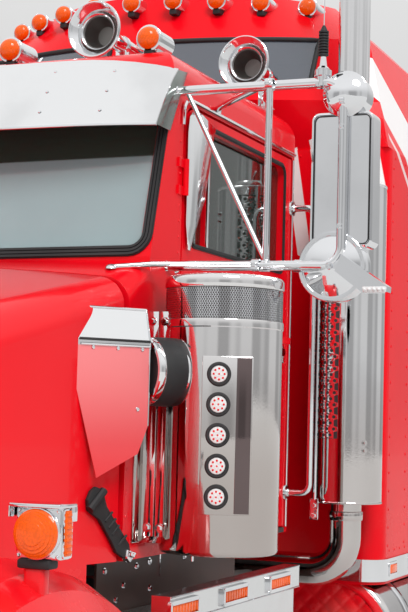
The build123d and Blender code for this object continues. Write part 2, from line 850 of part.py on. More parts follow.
sleeper_shell = sleeper_tube(0) - sleeper_tube(sleeper_wall)
front_part = sleeper_front + sleeper_round + 20
back_part = sleeper_back - sleeper_round - 20
low = sleeper_bottom - 1
high = sleeper_eave + 1
wide = sleeper_half + 1
sleeper_front_wall = sleeper_shell & block(-wide, wide, sleeper_front - 1, front_part, low, high)
save("sleeper_front", [sleeper_front_wall - walk_way])
save("sleeper_sides", (sleeper_shell & block(-wide, wide, front_part, back_part, low, high)).solids())
save("sleeper_rear", [sleeper_shell & block(-wide, wide, back_part, sleeper_back + 1, low, high)])
floor_slab = block(-wide, wide, sleeper_front, sleeper_back, bunk_floor - 40, bunk_floor)
sleeper_mounts = [
    block(rail_inner, rail_outer, s, s + 80, rail_top, bunk_floor - 35) for s in (sleeper_front + 150, 5000)
]
sleeper_floor = fused([sleeper_tube(sleeper_wall) & floor_slab] + pair(sleeper_mounts[0]) + pair(sleeper_mounts[1]))
save("sleeper_floor", [sleeper_floor])


def raised_roof(wall, low_extra):
    sections = []
    for index, (height, half, middle, corner, rear) in enumerate(roof_sections):
        z = height - (low_extra if index == 0 else 0) - (wall if index == len(roof_sections) - 1 else 0)
        left = (half - wall, corner + wall)
        right = (-half + wall, corner + wall)
        edges = ThreePointArc(right, (0, middle + wall), left)
        sides = Polyline(left, (half - wall, rear - wall), (-half + wall, rear - wall), right)
        sections.append(Plane.XY.offset(z) * make_face(edges + sides))
    return loft(sections, ruled=True)


# Station of the raised roof's front at a distance from the middle and a height
def roof_front(x, z):
    rows = [pair_of for pair_of in zip(roof_sections, roof_sections[1:]) if pair_of[0][0] <= z]
    low_row, high_row = rows[-1]
    share = (z - low_row[0]) / (high_row[0] - low_row[0])
    half, middle, corner = (low_row[k] + share * (high_row[k] - low_row[k]) for k in (1, 2, 3))
    rise = corner - middle
    radius = (half ** 2 + rise ** 2) / (2 * rise)
    return middle + radius - math.sqrt(radius ** 2 - x ** 2)


roof_outer = raised_roof(0, 0)
roof_shell = roof_outer - raised_roof(sleeper_wall, 1)
w0, w1, z0, z1 = roof_window
roof_hole = block(w0, w1, 3300, 4000, z0, z1)
roof_glass = (roof_outer - raised_roof(10, 1)) & roof_hole
save("sleeper_roof", [roof_shell - roof_hole - mirrored(roof_hole)])
save("sleeper_glass", pair(roof_glass))
bunk = fillet(block(-1050, 1050, 4250, 5080, 1500, 1680).edges(), 40)
save("bunk", [bunk + block(-900, 900, 4300, 5000, bunk_floor, 1540)])


# Roof lamps: five on the cab and nine on the sleeper, each a bullet on a foot
def bullet(x, s, z, foot):
    shell = lengthwise(x, s, s + 120, z, 40)
    return shell + block(x - 25, x + 25, s + 15, s + 105, z - foot, z)


cab_lamps = [bullet(x, 2190, 2915, 60) for x in (-755, -230, 0, 230, 755)]
cab_roof_solid = roof
lamp_solids = [lamp - cab_roof_solid for lamp in cab_lamps]
# Sleeper lamps stand out of the raised roof's bowed front
for x in (-721, -550, -377, -193, 0, 193, 377, 550, 721):
    s = roof_front(x, roof_lamp_height)
    lamp = lengthwise(x, s - 75, s + 60, roof_lamp_height, 40) - roof_outer
    lamp_solids.append(lamp.solids().sort_by(SortBy.VOLUME)[-1])
save("roof_lamps", lamp_solids)


# Air horns on the cab roof: distance from the middle, bell's face, pipe's end
horn_places = ((467, 2350, 3000), (800, 2930, 3230))


def air_horn(x, face, end):
    bell_profile = (
        (0, 0), (horn_bell, 0), (horn_bell, 6), (60, 60), (34, 140), (28, 220), (0, 220),
    )
    bell = revolve(make_face(Polyline(*bell_profile, close=True)), axis=Axis.Y)
    throat = Cone(horn_bell - 10, 20, 50)
    pipe = lengthwise(x, face + 200, end, horn_height, 28)
    feet = [block(x - 20, x + 20, s, s + 40, roof_height - 30, horn_height - 20) for s in (face + 210, end - 60)]
    opened = Pos(x, face, horn_height) * (bell - Pos(0, 24, 0) * Rot(-90, 0, 0) * throat)
    return fused([opened, pipe] + [foot_block - roof for foot_block in feet])


save("air_horns", [horn for place in horn_places for horn in pair(air_horn(*place))])


# Exhaust stack: heat shield, pipe, elbow under the cab and brackets on the sleeper's front
def exhaust():
    shield = upright(stack_x, stack_station, shield_bottom, shield_top, shield_radius)
    pipe = upright(stack_x, stack_station, shield_top - 10, stack_top, stack_radius)
    bore = upright(stack_x, stack_station, shield_top + 100, stack_top + 1, stack_radius - 4)
    points = (
        (stack_x, stack_station, shield_bottom + 5), (stack_x, stack_station, 1085),
        (rail_outer + 70, stack_station, 1085),
    )
    elbow = tube(points, stack_radius, 130)
    hanger = block(rail_outer, rail_outer + 90, stack_station - 25, stack_station + 25, 960, 1060)
    arms = [
        block(stack_x - 30, stack_x + 30, stack_station + 100, sleeper_front, z, z + 60) for z in (1500, 2420)
    ]
    return fused([shield, pipe, elbow, hanger] + arms) - bore


save("exhausts", pair(exhaust()))


# Air cleaner: canister with a screened band, lamp plate, boot to the cowl and brackets
def air_cleaner():
    r = cleaner_radius
    inner = r - cleaner_step
    ring_bottom = cleaner_top - cleaner_ring
    screen_bottom_z = ring_bottom - cleaner_screen
    lip_bottom = screen_bottom_z - cleaner_lip
    outline = (
        (0, cleaner_bottom), (inner, cleaner_bottom), (r, cleaner_bottom + 8), (r, cleaner_bottom + 34),
        (inner + 3, cleaner_bottom + 40), (inner + 3, lip_bottom), (r, lip_bottom + 4), (r, screen_bottom_z),
        (inner, screen_bottom_z), (inner, ring_bottom), (r, ring_bottom), (r, cleaner_top - 14),
        (r - 14, cleaner_top), (0, cleaner_top),
    )
    can = revolve(Plane.XZ * make_face(Polyline(*outline, close=True)), axis=Axis.Z)
    plate = block(
        -lamp_plate_half, lamp_plate_half, -r - lamp_plate_stand, -inner + 40, lamp_plate_bottom, lamp_plate_top
    )
    dressed = Pos(cleaner_x, cleaner_station, 0) * (can + Rot(0, 0, lamp_plate_turn) * plate)
    boot_tube = across(cab_half, cleaner_x, cleaner_station - 40, boot_height, boot_radius)
    clamps = [
        across(cab_half + 14, cab_half + 32, cleaner_station - 40, boot_height, boot_radius + 4),
        across(cleaner_x - r + 4, cleaner_x - r + 22, cleaner_station - 40, boot_height, boot_radius + 4),
    ]
    bracket = block(cab_half, cleaner_x - 100, cleaner_station - 118, cleaner_station - 112, 1290, 1750)
    flange = block(cab_half, cab_half + 5, cleaner_station - 160, cleaner_station - 112, 1290, 1750)
    straps = [
        block(cab_half, cleaner_x, cleaner_station + 40, cleaner_station + 90, z, z + 50) for z in (1400, 1950)
    ]
    return fused([dressed, boot_tube, bracket, flange] + clamps + straps)


save("air_cleaners", pair(air_cleaner()))


# Mirror: looped tube frame on the front pillar with stays, and behind it the head, a round lamp and convex glass
def side_mirror():
    tube_radius = 16
    top = 2722
    foot = 2148
    loop_points = (
        (cab_half - 30, 2160, top), (mirror_x, mirror_station, top), (mirror_x, mirror_station, foot),
        (cab_half - 30, 2110, foot),
    )
    loop = tube(loop_points, tube_radius, 60)
    bar = upright(1200, 2150, foot, top, 11)
    brace = tube(((1200, 2150, top + 6), (1000, 2350, top + 6), (cab_half - 20, 2500, top + 6)), 11, 40)
    back = mirror_station + tube_radius + 2
    head = block(mirror_x - 105, mirror_x + 91, back, back + 70, 2207, 2627)
    head = fillet(head.edges().filter_by(Axis.Y), 24)
    clamps = [block(mirror_x - 14, mirror_x + 14, mirror_station, back + 10, z, z + 36) for z in (2250, 2560)]
    convex = lengthwise(mirror_x - 31, mirror_station + 6, back + 42, 2146, 108)
    round_lamp = lengthwise(mirror_x + 2, mirror_station + 4, back + 68, 2684, 68)
    diagonal = tube(((914, 2160, top - 6), (1200, 2150, foot + 10)), 8, 0)
    wedge = (
        (mirror_x - 10, foot - 20), (mirror_x + 10, foot + 32), (mirror_x + 156, 2080), (mirror_x + 154, 2063),
        (mirror_x + 76, 2063),
    )
    lamp = front_profile(wedge, mirror_station - 30, mirror_station + 20)
    outside = fused([loop, bar, brace, head, convex, round_lamp, lamp, diagonal] + clamps)
    outside -= block(0, cab_half, 1900, 3000, 2000, 2900)
    long_arm = tube(((786, 1905, 2124), (900, 1962, 2138), (1180, 2120, foot), (1400, mirror_station, foot)), 9, 60)
    return outside + (long_arm - cowl).solids().sort_by(SortBy.VOLUME)[-1]


save("side_mirrors", pair(side_mirror()))


# Fuel tank with brackets to the rail
def fuel_tank():
    shell = lengthwise(tank_x, tank_front, tank_back, tank_height, tank_radius)
    shell = fillet(shell.edges().group_by(Axis.Y)[0], 25)
    brackets = [
        block(rail_outer, tank_x - 100, s, s + 70, tank_height - 60, rail_top - 20)
        for s in (tank_front + 200, tank_back - 270)
    ]
    return fused([shell] + brackets)


save("fuel_tanks", pair(fuel_tank()))


# Air tank behind the fuel tank, on a bracket to the rail
def air_tank():
    shell = lengthwise(570, 5180, 5660, 860, 115)
    shell = fillet(shell.edges(), 30)
    bracket = block(rail_outer, 500, 5380, 5460, 800, 920)
    return shell + bracket


save("air_tanks", pair(air_tank()))


# Step box under the door, with the lamp strip and a splash panel standing on it
def step_box():
    body = block(500, box_outer, box_front, box_back, box_bottom, box_top)
    step = block(box_outer - 220, box_outer + 1, box_front + 60, box_back - 60, box_bottom + 200, box_top - 110)
    arms = [block(rail_outer, 510, s, s + 80, 800, 980) for s in (box_front + 100, box_back - 180)]
    strip = block(strip_x - strip_width, strip_x, box_front - 20, box_back, box_top, strip_top)
    splash = block(splash_x, splash_x + 8, box_front, box_back, box_top, cab_bottom)
    return fused([body - step, strip, splash] + arms)


save("step_boxes", pair(step_box()))


# Fifth wheel plate on its base, tipping about a pin across the frame
def coupling_plate():
    disc_solid = upright(0, coupling_station, coupling_height - coupling_wall, coupling_height, coupling_radius)
    ramp = (
        (0, coupling_station), (-150, coupling_station + 480), (150, coupling_station + 480),
    )
    mouth = extrude(Plane.XY.offset(1100) * make_face(Polyline(*ramp, close=True)), 200)
    bore = upright(0, coupling_station, 1100, 1300, kingpin_bore)
    lug = block(300, 340, coupling_station - 50, coupling_station + 50, coupling_pivot - 40,
                coupling_height - coupling_wall + 5)
    pin = across(330, 420, coupling_station, coupling_pivot, 20)
    return fused([disc_solid - mouth - bore] + pair(lug + pin))


save("fifth_wheel", [coupling_plate()])
foot = block(346, 426, coupling_station - 70, coupling_station + 70, rail_top, coupling_pivot + 40)
foot -= across(345, 430, coupling_station, coupling_pivot, 20 + running_gap)
base_plate = block(346, rail_outer, coupling_station - 300, coupling_station + 300, rail_top, rail_top + 14)
save("fifth_wheel_base", pair(foot + base_plate))

# Tail bar with lamps, and flaps behind the last wheels
tail_bar = block(-1210, 1210, rail_end, rail_end + 40, 930, 1000)
tail_lamps = [lengthwise(side * x, rail_end + 40, length, 965, 32) for x in (560, 660, 1080) for side in (-1, 1)]
flaps = [block(620, 1210, rail_end + 10, rail_end + 22, 270, 935)]
save("tail_bar", [fused([tail_bar] + tail_lamps + pair(flaps[0]))])
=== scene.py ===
import bpy
import math
from mathutils import Matrix, Vector


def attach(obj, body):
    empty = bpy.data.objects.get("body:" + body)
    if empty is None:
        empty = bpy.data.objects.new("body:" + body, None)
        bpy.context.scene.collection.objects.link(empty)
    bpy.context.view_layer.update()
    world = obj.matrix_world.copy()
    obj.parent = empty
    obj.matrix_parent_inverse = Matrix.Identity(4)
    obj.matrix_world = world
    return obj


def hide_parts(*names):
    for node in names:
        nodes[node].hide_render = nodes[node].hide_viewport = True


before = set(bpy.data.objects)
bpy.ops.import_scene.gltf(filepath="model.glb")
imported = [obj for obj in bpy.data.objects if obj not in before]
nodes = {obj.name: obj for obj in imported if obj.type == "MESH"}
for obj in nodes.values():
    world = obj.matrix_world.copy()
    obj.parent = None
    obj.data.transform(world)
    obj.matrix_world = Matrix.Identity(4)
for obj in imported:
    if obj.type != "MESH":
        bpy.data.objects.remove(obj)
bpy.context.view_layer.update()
stationZero = 4.1   # metres from the bumper's face to the middle of the truck
print("frame loaded:", len(nodes), "nodes")


def at(x, station, z):   # a place in millimetres, with stations counted from the bumper's face
    return Vector((x / 1000, station / 1000 - stationZero, z / 1000))


def spot(place):   # three numbers are such a place, a vector is metres already
    return place if isinstance(place, Vector) else at(*place)


# Camera at the photograph's viewing angle
camera = {
    "place": (2.7854, -6.1718, 1.6702),
    "right": (0.92115, 0.38828, 0.02683),
    "up": (0.00518, -0.08116, 0.99669),
    "back": (0.38917, -0.91796, -0.07677),
    "lens": 85.51,
}
bpy.ops.object.camera_add()
cameraObject = bpy.context.object
turn = Matrix((camera["right"], camera["up"], camera["back"])).transposed().to_4x4()
cameraObject.matrix_world = Matrix.Translation(camera["place"]) @ turn
cameraObject.data.lens = camera["lens"]
cameraObject.data.sensor_width = 36
cameraObject.data.clip_end = 200
bpy.context.scene.camera = cameraObject


def sumOf(operation, swapped=False):   # an operator between wires, or one wire's own function
    return lambda self, other=None: self.sum(operation, *((other, self) if swapped else (self, other)))


class Wire:   # a socket that can be used in sums
    def __init__(self, tree, socket):
        self.tree = tree
        self.socket = socket

    def sum(self, operation, first, second):
        step = self.tree.nodes.new("ShaderNodeMath")
        step.operation = operation
        for value, socket in zip((first, second), step.inputs):
            if value is not None:
                plug(self.tree, value, socket)
        return Wire(self.tree, step.outputs[0])

    __add__, __radd__ = sumOf("ADD"), sumOf("ADD", True)
    __sub__, __rsub__ = sumOf("SUBTRACT"), sumOf("SUBTRACT", True)
    __mul__, __rmul__ = sumOf("MULTIPLY"), sumOf("MULTIPLY", True)
    __truediv__, __rtruediv__ = sumOf("DIVIDE"), sumOf("DIVIDE", True)
    __gt__, __lt__ = sumOf("GREATER_THAN"), sumOf("LESS_THAN")
    __abs__, wave, fraction = sumOf("ABSOLUTE"), sumOf("SINE"), sumOf("FRACT")


def plug(tree, value, socket):
    if isinstance(value, Wire):
        tree.links.new(value.socket, socket)
    elif isinstance(value, tuple) and len(value) == 3 and socket.type == "RGBA":
        socket.default_value = (*value, 1)
    else:
        socket.default_value = value


looks = {}


class Finish:   # one material, or the world, and its nodes
    def __init__(self, name, fixed, world=None):
        looks[name] = world or bpy.data.materials.new(name)
        looks[name].use_nodes = True
        self.tree = looks[name].node_tree
        self.shader = self.tree.nodes["Background" if world else "Principled BSDF"]
        self.feed(fixed)
        self.place = self.node("ShaderNodeTexCoord", out="Generated" if world else "Object")

    def feed(self, sockets):
        for name, value in sockets.items():
            plug(self.tree, value, self.shader.inputs[name])

    def node(self, kind, settings=None, sockets=None, out=0):
        made = self.tree.nodes.new(kind)
        for name, value in (settings or {}).items():
            setattr(made, name, value)
        for name, value in (sockets or {}).items():
            plug(self.tree, value, made.inputs[name])
        return Wire(self.tree, made.outputs[out])

    def noise(self, scale, detail=3, stretch=None):
        place = self.place
        if stretch:
            place = self.node("ShaderNodeMapping", None, {"Vector": place, "Scale": stretch})
        return self.node("ShaderNodeTexNoise", None, {"Vector": place, "Scale": scale, "Detail": detail})

    def cells(self, scale, feature="F1"):
        sockets = {"Vector": self.place, "Scale": scale}
        return self.node("ShaderNodeTexVoronoi", {"feature": feature}, sockets, "Distance")

    def axis(self, letter):
        return self.node("ShaderNodeSeparateXYZ", None, {0: self.place}, out=letter)

    def ramp(self, value, low, high):   # 0 at low, 1 at high, smooth between
        sockets = {"Value": value, "From Min": low, "From Max": high}
        return self.node("ShaderNodeMapRange", {"interpolation_type": "SMOOTHSTEP"}, sockets)

    def tint(self, mask, first, second):
        return self.node("ShaderNodeMix", {"data_type": "RGBA"}, {0: mask, 6: first, 7: second}, out=2)

    def bump(self, height, distance, strength=1.0):
        sockets = {"Height": height, "Distance": distance / 1000, "Strength": strength}
        self.feed({"Normal": self.node("ShaderNodeBump", None, sockets)})

    def grime(self, low, high):   # road dust that thins out with height
        return (1 - self.ramp(self.axis("Z"), low, high)) * self.ramp(self.noise(5, 5), 0.35, 0.7)


def shaded(colour, factor, more=0.0):
    return tuple(min(1, part * factor + more) for part in colour)


def paintLook(name, colour, stripes=None, gloss=0.35):
    look = Finish(name, {"Coat Weight": gloss, "Coat Roughness": 0.03, "Specular IOR Level": gloss * 0.7})
    base = look.tint(look.ramp(look.noise(1.4), 0.35, 0.7), colour, shaded(colour, 0.90))
    if stripes:
        base = stripes(look, base)
    dust = look.grime(0.25, 1.5)
    look.feed({"Base Color": look.tint(dust * 0.35, base, (0.42, 0.33, 0.27))})
    look.feed({"Roughness": 0.22 + dust * 0.4 + look.noise(60, 2) * 0.05})
    look.bump(look.noise(260, 2), 0.12, 0.25)


def sleeperStripes(look, base):   # slanted white bars beside the door, and a white sweep with a pinstripe along the side
    x, y, z = (look.axis(letter) for letter in "XYZ")
    side = abs(x)
    slant = (side - 0.745 - (2.82 - z) * 0.16) / 0.058
    bars = look.ramp(abs((slant * 0.5).fraction() - 0.5), 0.235, 0.265)
    inFront = (side > 0.70) * (z > 2.38 - (side - 0.745) * 0.5) * (z < 2.80 + (side - 0.745) * 0.45) * (y < -0.43)
    base = look.tint(bars * inFront, base, (0.86, 0.84, 0.83))
    line = 2.98 - (y + 0.48) * 0.62
    onSide = (side > 1.02) * (y > -0.40)
    sweep = onSide * look.ramp(z, line - 0.006, line + 0.006) * (z < line + 0.34)
    base = look.tint(sweep, base, (0.86, 0.83, 0.83))
    pin = onSide * (abs(z - (line - 0.075)) < 0.014)
    return look.tint(pin, base, (0.86, 0.62, 0.62))


def metalLook(name, colour, roughness, brushed=None, dust=0.25, wave=0.0, filmAndGroundReflection=0.0):   # the last setting darkens and browns the metal below 2 m, a painted reflection of the dark ground
    look = Finish(name, {"Metallic": 1.0})
    smudge = look.ramp(look.noise(3.2, 5), 0.42, 0.75)
    dirt = look.grime(0.1, 1.1) * dust
    base = look.tint(smudge, colour, shaded(colour, 0.88))
    if filmAndGroundReflection:
        # painted reflection: below 2 m the metal turns dark brown, as the dark ground would show in it
        base = look.tint((1 - look.ramp(look.axis("Z"), 1.45, 1.95)) * filmAndGroundReflection, base, (0.42, 0.36, 0.33))
    look.feed({"Base Color": look.tint(dirt, base, (0.20, 0.17, 0.15))})
    grain = look.noise(90, 2, brushed) if brushed else look.noise(140, 2)
    look.feed({"Roughness": roughness + smudge * 0.05 + dirt * 0.5 + (grain - 0.5) * 0.08})
    height = grain * 0.02 + look.noise(2.2, 1) * wave if wave else grain
    look.bump(height, 4.0 if wave else 0.15, 0.5 if wave else 0.2)


def coverLook(name, colour, roughness, grain, depth, dust=0.3, top=1.2, sheen=0.0):   # rubber, trim, castings, cloth
    look = Finish(name, {"Specular IOR Level": 0.4, "Sheen Weight": sheen})
    patch = look.ramp(look.noise(4, 5), 0.3, 0.75)
    dirt = look.grime(0.1, top) * dust
    base = look.tint(patch, colour, shaded(colour, 1.35, 0.01))
    look.feed({"Base Color": look.tint(dirt, base, (0.24, 0.20, 0.17))})
    look.feed({"Roughness": roughness + patch * 0.08 + dirt * 0.2})
    look.bump(look.noise(grain, 3) + look.cells(grain * 0.6) * 0.4, depth, 0.6)


def lensLook(name, colour, glow):
    fixed = {"Roughness": 0.12, "Coat Weight": 0.25, "Specular IOR Level": 0.3, "Emission Strength": glow}
    look = Finish(name, fixed)
    facet = look.ramp(look.cells(220, "SMOOTH_F1"), 0.0, 0.7)
    base = look.tint(facet, colour, shaded(colour, 0.80))
    look.feed({"Base Color": base, "Emission Color": base})
    look.bump(look.cells(220), 0.3, 0.3)


def glassLook(name, tint, clear, band=None):   # clear: how solid the pane looks straight on
    look = Finish(name, {"Roughness": 0.03, "Specular IOR Level": 0.9, "Coat Weight": 1.0, "Coat Roughness": 0.01})
    edge = look.node("ShaderNodeLayerWeight", None, {"Blend": 0.35}, out="Facing")
    # random haze patches on the glass: a little more solid here and there
    filmAndGroundReflection = look.ramp(look.noise(2.5, 4), 0.4, 0.8) * 0.06
    colour, solid = tint, clear
    if band:   # a dark shade band along the top
        mask = look.ramp(look.axis("Z"), band - 0.004, band + 0.004)
        colour = look.tint(mask, tint, (0.042, 0.056, 0.044))
        solid = clear + mask * (0.74 - clear)
    look.feed({"Base Color": colour, "Alpha": solid + filmAndGroundReflection + edge * 0.25})
    look.bump(look.noise(1.6, 1), 0.6, 0.2)


def deflectorLook(name, steel, reflectedRed, fold):   # polished above its fold; below it, red painted on as the reflection of the red hood, lightening towards the fold as a painted highlight
    look = Finish(name, {"Coat Weight": 0.5, "Coat Roughness": 0.03})
    z = look.axis("Z")
    # painted reflection: the red hood mirrored below the fold, lightening upwards into a painted highlight
    red = look.tint(look.ramp(z, fold - 0.40, fold), reflectedRed, shaded(reflectedRed, 1, 0.24))
    above = look.ramp(z, fold - 0.003, fold + 0.003)
    look.feed({"Base Color": look.tint(above, red, steel), "Metallic": 0.3 + above * 0.7})
    look.feed({"Roughness": 0.07 + look.noise(140, 2) * 0.04})
    look.bump(look.noise(2.2, 1), 2.0, 0.3)


def stepLook(name, steel, panel, inside):   # steel box and strip, and a dark painted panel standing inboard
    look = Finish(name, {})
    outer = look.ramp(abs(look.axis("X")), inside - 0.001, inside + 0.001)
    scuff = look.ramp(look.noise(9, 5), 0.45, 0.8)
    dark = look.tint(scuff, panel, shaded(panel, 1.6))
    look.feed({"Base Color": look.tint(outer, dark, steel), "Metallic": outer})
    look.feed({"Roughness": 0.42 - outer * 0.24 + scuff * 0.08})
    look.bump(look.noise(120, 3, (0.2, 0.2, 8)), 0.15, 0.2)


truckRed = (0.84, 0.002, 0.010)
# the red below the fold is a painted reflection of the hood, not paint on the steel
deflectorLook("deflectorSteel", (0.84, 0.85, 0.86), (0.84, 0.03, 0.04), 1.872)
stepLook("stepSteel", (0.74, 0.75, 0.76), (0.055, 0.032, 0.026), 0.81)
paintLook("redPaint", truckRed)
paintLook("sleeperPaint", truckRed, sleeperStripes, 0.10)
paintLook("cabPaint", truckRed, None, 0.16)
metalLook("chrome", (0.80, 0.81, 0.83), 0.05)
metalLook("mirrorSteel", (0.84, 0.85, 0.86), 0.07, wave=0.5)
# the cleaners, stacks and tanks carry that painted ground reflection low down
metalLook("cleanerSteel", (0.80, 0.79, 0.79), 0.06, wave=0.6, filmAndGroundReflection=0.75)
metalLook("stackChrome", (0.82, 0.82, 0.83), 0.05, filmAndGroundReflection=0.55)
metalLook("tankSteel", (0.78, 0.78, 0.79), 0.09, wave=0.5, filmAndGroundReflection=0.30)
metalLook("darkMirror", (0.17, 0.13, 0.13), 0.04)
# dark green-grey: a painted reflection of dark greenery on the visor's polished ends
metalLook("visorEndPaintedReflection", (0.30, 0.33, 0.31), 0.16)
metalLook("brushedSteel", (0.72, 0.73, 0.74), 0.22, brushed=(0.2, 0.2, 12))
metalLook("wheelPolish", (0.78, 0.79, 0.80), 0.13, dust=0.5)
metalLook("treadPlate", (0.62, 0.63, 0.64), 0.30, dust=0.5)
metalLook("couplingSteel", (0.24, 0.23, 0.22), 0.42, dust=0.5)
coverLook("tyreRubber", (0.018, 0.018, 0.019), 0.72, 220, 0.4, dust=0.45)
coverLook("blackRubber", (0.014, 0.014, 0.015), 0.55, 180, 0.3, dust=0.15)
coverLook("framePaint", (0.030, 0.030, 0.032), 0.42, 60, 0.4, dust=0.55)
coverLook("castMetal", (0.075, 0.072, 0.070), 0.60, 90, 1.0, dust=0.6)
coverLook("engineCast", (0.16, 0.10, 0.05), 0.50, 70, 1.0, dust=0.4, top=1.8)
coverLook("coreFins", (0.05, 0.05, 0.052), 0.50, 400, 1.5)
coverLook("cabTrim", (0.075, 0.070, 0.066), 0.55, 320, 0.3, dust=0.0)
coverLook("floorMat", (0.035, 0.034, 0.034), 0.80, 260, 1.0, dust=0.5, top=1.6)
coverLook("headliner", (0.30, 0.28, 0.26), 0.85, 300, 0.5, dust=0.0, sheen=0.3)
coverLook("seatLeather", (0.105, 0.060, 0.045), 0.48, 210, 0.6, dust=0.0)
coverLook("tanLeather", (0.62, 0.36, 0.26), 0.42, 300, 0.3, dust=0.0)
coverLook("bunkCloth", (0.16, 0.17, 0.20), 0.90, 500, 0.8, dust=0.0, sheen=0.4)
coverLook("splashBoard", (0.032, 0.022, 0.019), 0.45, 60, 0.3, top=1.4)
lensLook("amberLens", (0.86, 0.11, 0.002), 0.14)
lensLook("redLens", (0.75, 0.01, 0.012), 0.12)
lensLook("clearLens", (0.80, 0.80, 0.80), 0.05)
# pale blue-grey: a painted sky reflection on the windscreen; the dark band along its top is the glass's own tint
glassLook("screenGlass", (0.40, 0.54, 0.56), 0.50, band=2.500)
glassLook("doorGlass", (0.010, 0.024, 0.018), 0.66)
glassLook("sleeperGlass", (0.075, 0.090, 0.115), 0.80)
glassLook("lampGlass", (0.75, 0.78, 0.80), 0.12)
print("finishes:", len(looks))

# Nodes of each finish, by the start of their names
nodeLooks = {
    "redPaint": "hood fenders cab_roof", "cabPaint": "cab_cowl cab_back door_left door_right",
    "sleeperPaint": "sleeper_front sleeper_sides sleeper_rear sleeper_roof", "deflectorSteel": "hood_deflectors",
    "blackRubber": "sleeper_boot", "floorMat": "sleeper_floor cab_floor", "mirrorSteel": "visor",
    "chrome": "bumper grille headlamps indicators side_mirrors air_horns roof_lamps", "cleanerSteel": "air_cleaners",
    "stackChrome": "exhausts", "tankSteel": "fuel_tanks", "stepSteel": "step_boxes", "castMetal": "air_tanks knuckle tie_rod",
    "screenGlass": "windshield", "doorGlass": "door_glass", "sleeperGlass": "sleeper_glass", "engineCast": "engine",
    "framePaint": "frame_rails crossmembers front_axle drive_axles tail_bar fifth_wheel_base", "coreFins": "radiator",
    "couplingSteel": "fifth_wheel", "wheelPolish": "rim", "tyreRubber": "tyre", "cabTrim": "dashboard",
    "tanLeather": "steering_wheel", "seatLeather": "seats", "bunkCloth": "bunk",
}
stems = {stem: look for look, names in nodeLooks.items() for stem in names.split()}
for nodeName, node in nodes.items():
    stem = max((key for key in stems if nodeName.startswith(key)), key=len)
    node.data.materials.clear()
    node.data.materials.append(looks[stems[stem]])
    for polygon in node.data.polygons:
        polygon.material_index = 0

# Directions, and the mirror across the truck's middle
outward, forward, backward, upward = (1, 0, 0), (0, -1, 0), (0, 1, 0), (0, 0, 1)
mirrorX = Matrix.Scale(-1, 4, (1, 0, 0))


# Modelling helpers: lengths in millimetres, but moves within edit mode in metres
def settle():
    if bpy.context.mode != "OBJECT":
        bpy.ops.object.mode_set(mode="OBJECT")
    bpy.ops.object.select_all(action="DESELECT")


def hold(piece):   # makes one piece the only selected and active one
    settle()
    piece.select_set(True)
    bpy.context.view_layer.objects.active = piece


def named(name):   # the primitive just added, with its place put in its mesh
    piece = bpy.context.object
    piece.name = piece.data.name = name
    bpy.ops.object.transform_apply(location=True, rotation=True, scale=True)
    return piece


def editAll():
    bpy.ops.object.mode_set(mode="EDIT")
    bpy.ops.mesh.select_all(action="SELECT")


def pull(move=(0, 0, 0)):
    bpy.ops.mesh.extrude_region_move(TRANSFORM_OT_translate={"value": move})


def stepIn(width, move):   # insets the selected faces, then moves them
    bpy.ops.mesh.inset(thickness=width)
    bpy.ops.transform.translate(value=move)


def tidy():
    bpy.ops.mesh.select_all(action="SELECT")
    bpy.ops.mesh.remove_doubles(threshold=0.00001)
    bpy.ops.mesh.normals_make_consistent(inside=False)
    bpy.ops.object.mode_set(mode="OBJECT")


def choose(piece, test, kind="FACE"):   # edit mode with the faces or edges whose middle and normal or run pass the test
    hold(piece)
    bpy.ops.object.mode_set(mode="EDIT")
    bpy.ops.mesh.select_mode(type=kind)
    bpy.ops.mesh.select_all(action="DESELECT")
    bpy.ops.object.mode_set(mode="OBJECT")
    mesh = piece.data
    if kind == "FACE":
        for face in mesh.polygons:
            face.select = bool(test(face.center, face.normal))
    else:
        for edge in mesh.edges:
            first, last = (mesh.vertices[index].co for index in edge.vertices)
            edge.select = bool(test((first + last) / 2, (last - first).normalized()))
    bpy.ops.object.mode_set(mode="EDIT")


def apply(piece, kind, **settings):
    hold(piece)
    modifier = piece.modifiers.new("step", kind)
    for name, value in settings.items():
        setattr(modifier, name, value)
    bpy.ops.object.modifier_apply(modifier=modifier.name)


def block(name, low, high, soft=3, segments=2):   # a box between two corners with softened edges
    low, high = spot(low), spot(high)
    settle()
    bpy.ops.mesh.primitive_cube_add(size=1, location=(low + high) / 2)
    bpy.context.object.scale = high - low
    piece = named(name)
    if soft:
        editAll()
        bpy.ops.mesh.bevel(offset=soft / 1000, segments=segments, affect="EDGES")
        bpy.ops.object.mode_set(mode="OBJECT")
    return piece


def outline(points):   # an open line of vertices in edit mode, all selected at the end
    places = [spot(point) for point in points]
    settle()
    bpy.ops.mesh.primitive_plane_add(size=0.01)
    bpy.ops.object.mode_set(mode="EDIT")
    bpy.ops.mesh.select_mode(type="VERT")
    bpy.ops.mesh.merge(type="CENTER")
    bpy.ops.transform.translate(value=places[0])
    for before, after in zip(places, places[1:]):
        bpy.ops.mesh.extrude_vertices_move(TRANSFORM_OT_translate={"value": after - before})
    bpy.ops.mesh.select_all(action="SELECT")


def facing(direction):   # turns a model that points up so that it points this way
    return Vector(direction).to_track_quat("Z", "Y").to_matrix().to_4x4()


def turned(name, profile, steps=32, centre=Vector(), axis=upward):   # profile: distances along and from the axis
    outline([Vector((radius, 0, along)) / 1000 for along, radius in profile])
    bpy.ops.mesh.spin(steps=steps, angle=math.tau, center=(0, 0, 0), axis=(0, 0, 1))
    tidy()
    bpy.context.object.matrix_world = Matrix.Translation(spot(centre)) @ facing(axis)
    return named(name)


def hoop(low, high, inner, outer, edge=0):   # the profile of a band round something, with its outer edges cut off
    corners = [(low + edge, outer), (high - edge, outer)]
    if edge:
        corners = [(low, outer - 2), *corners, (high, outer - 2)]
    return [(low, inner), *corners, (high, inner), (low, inner)]


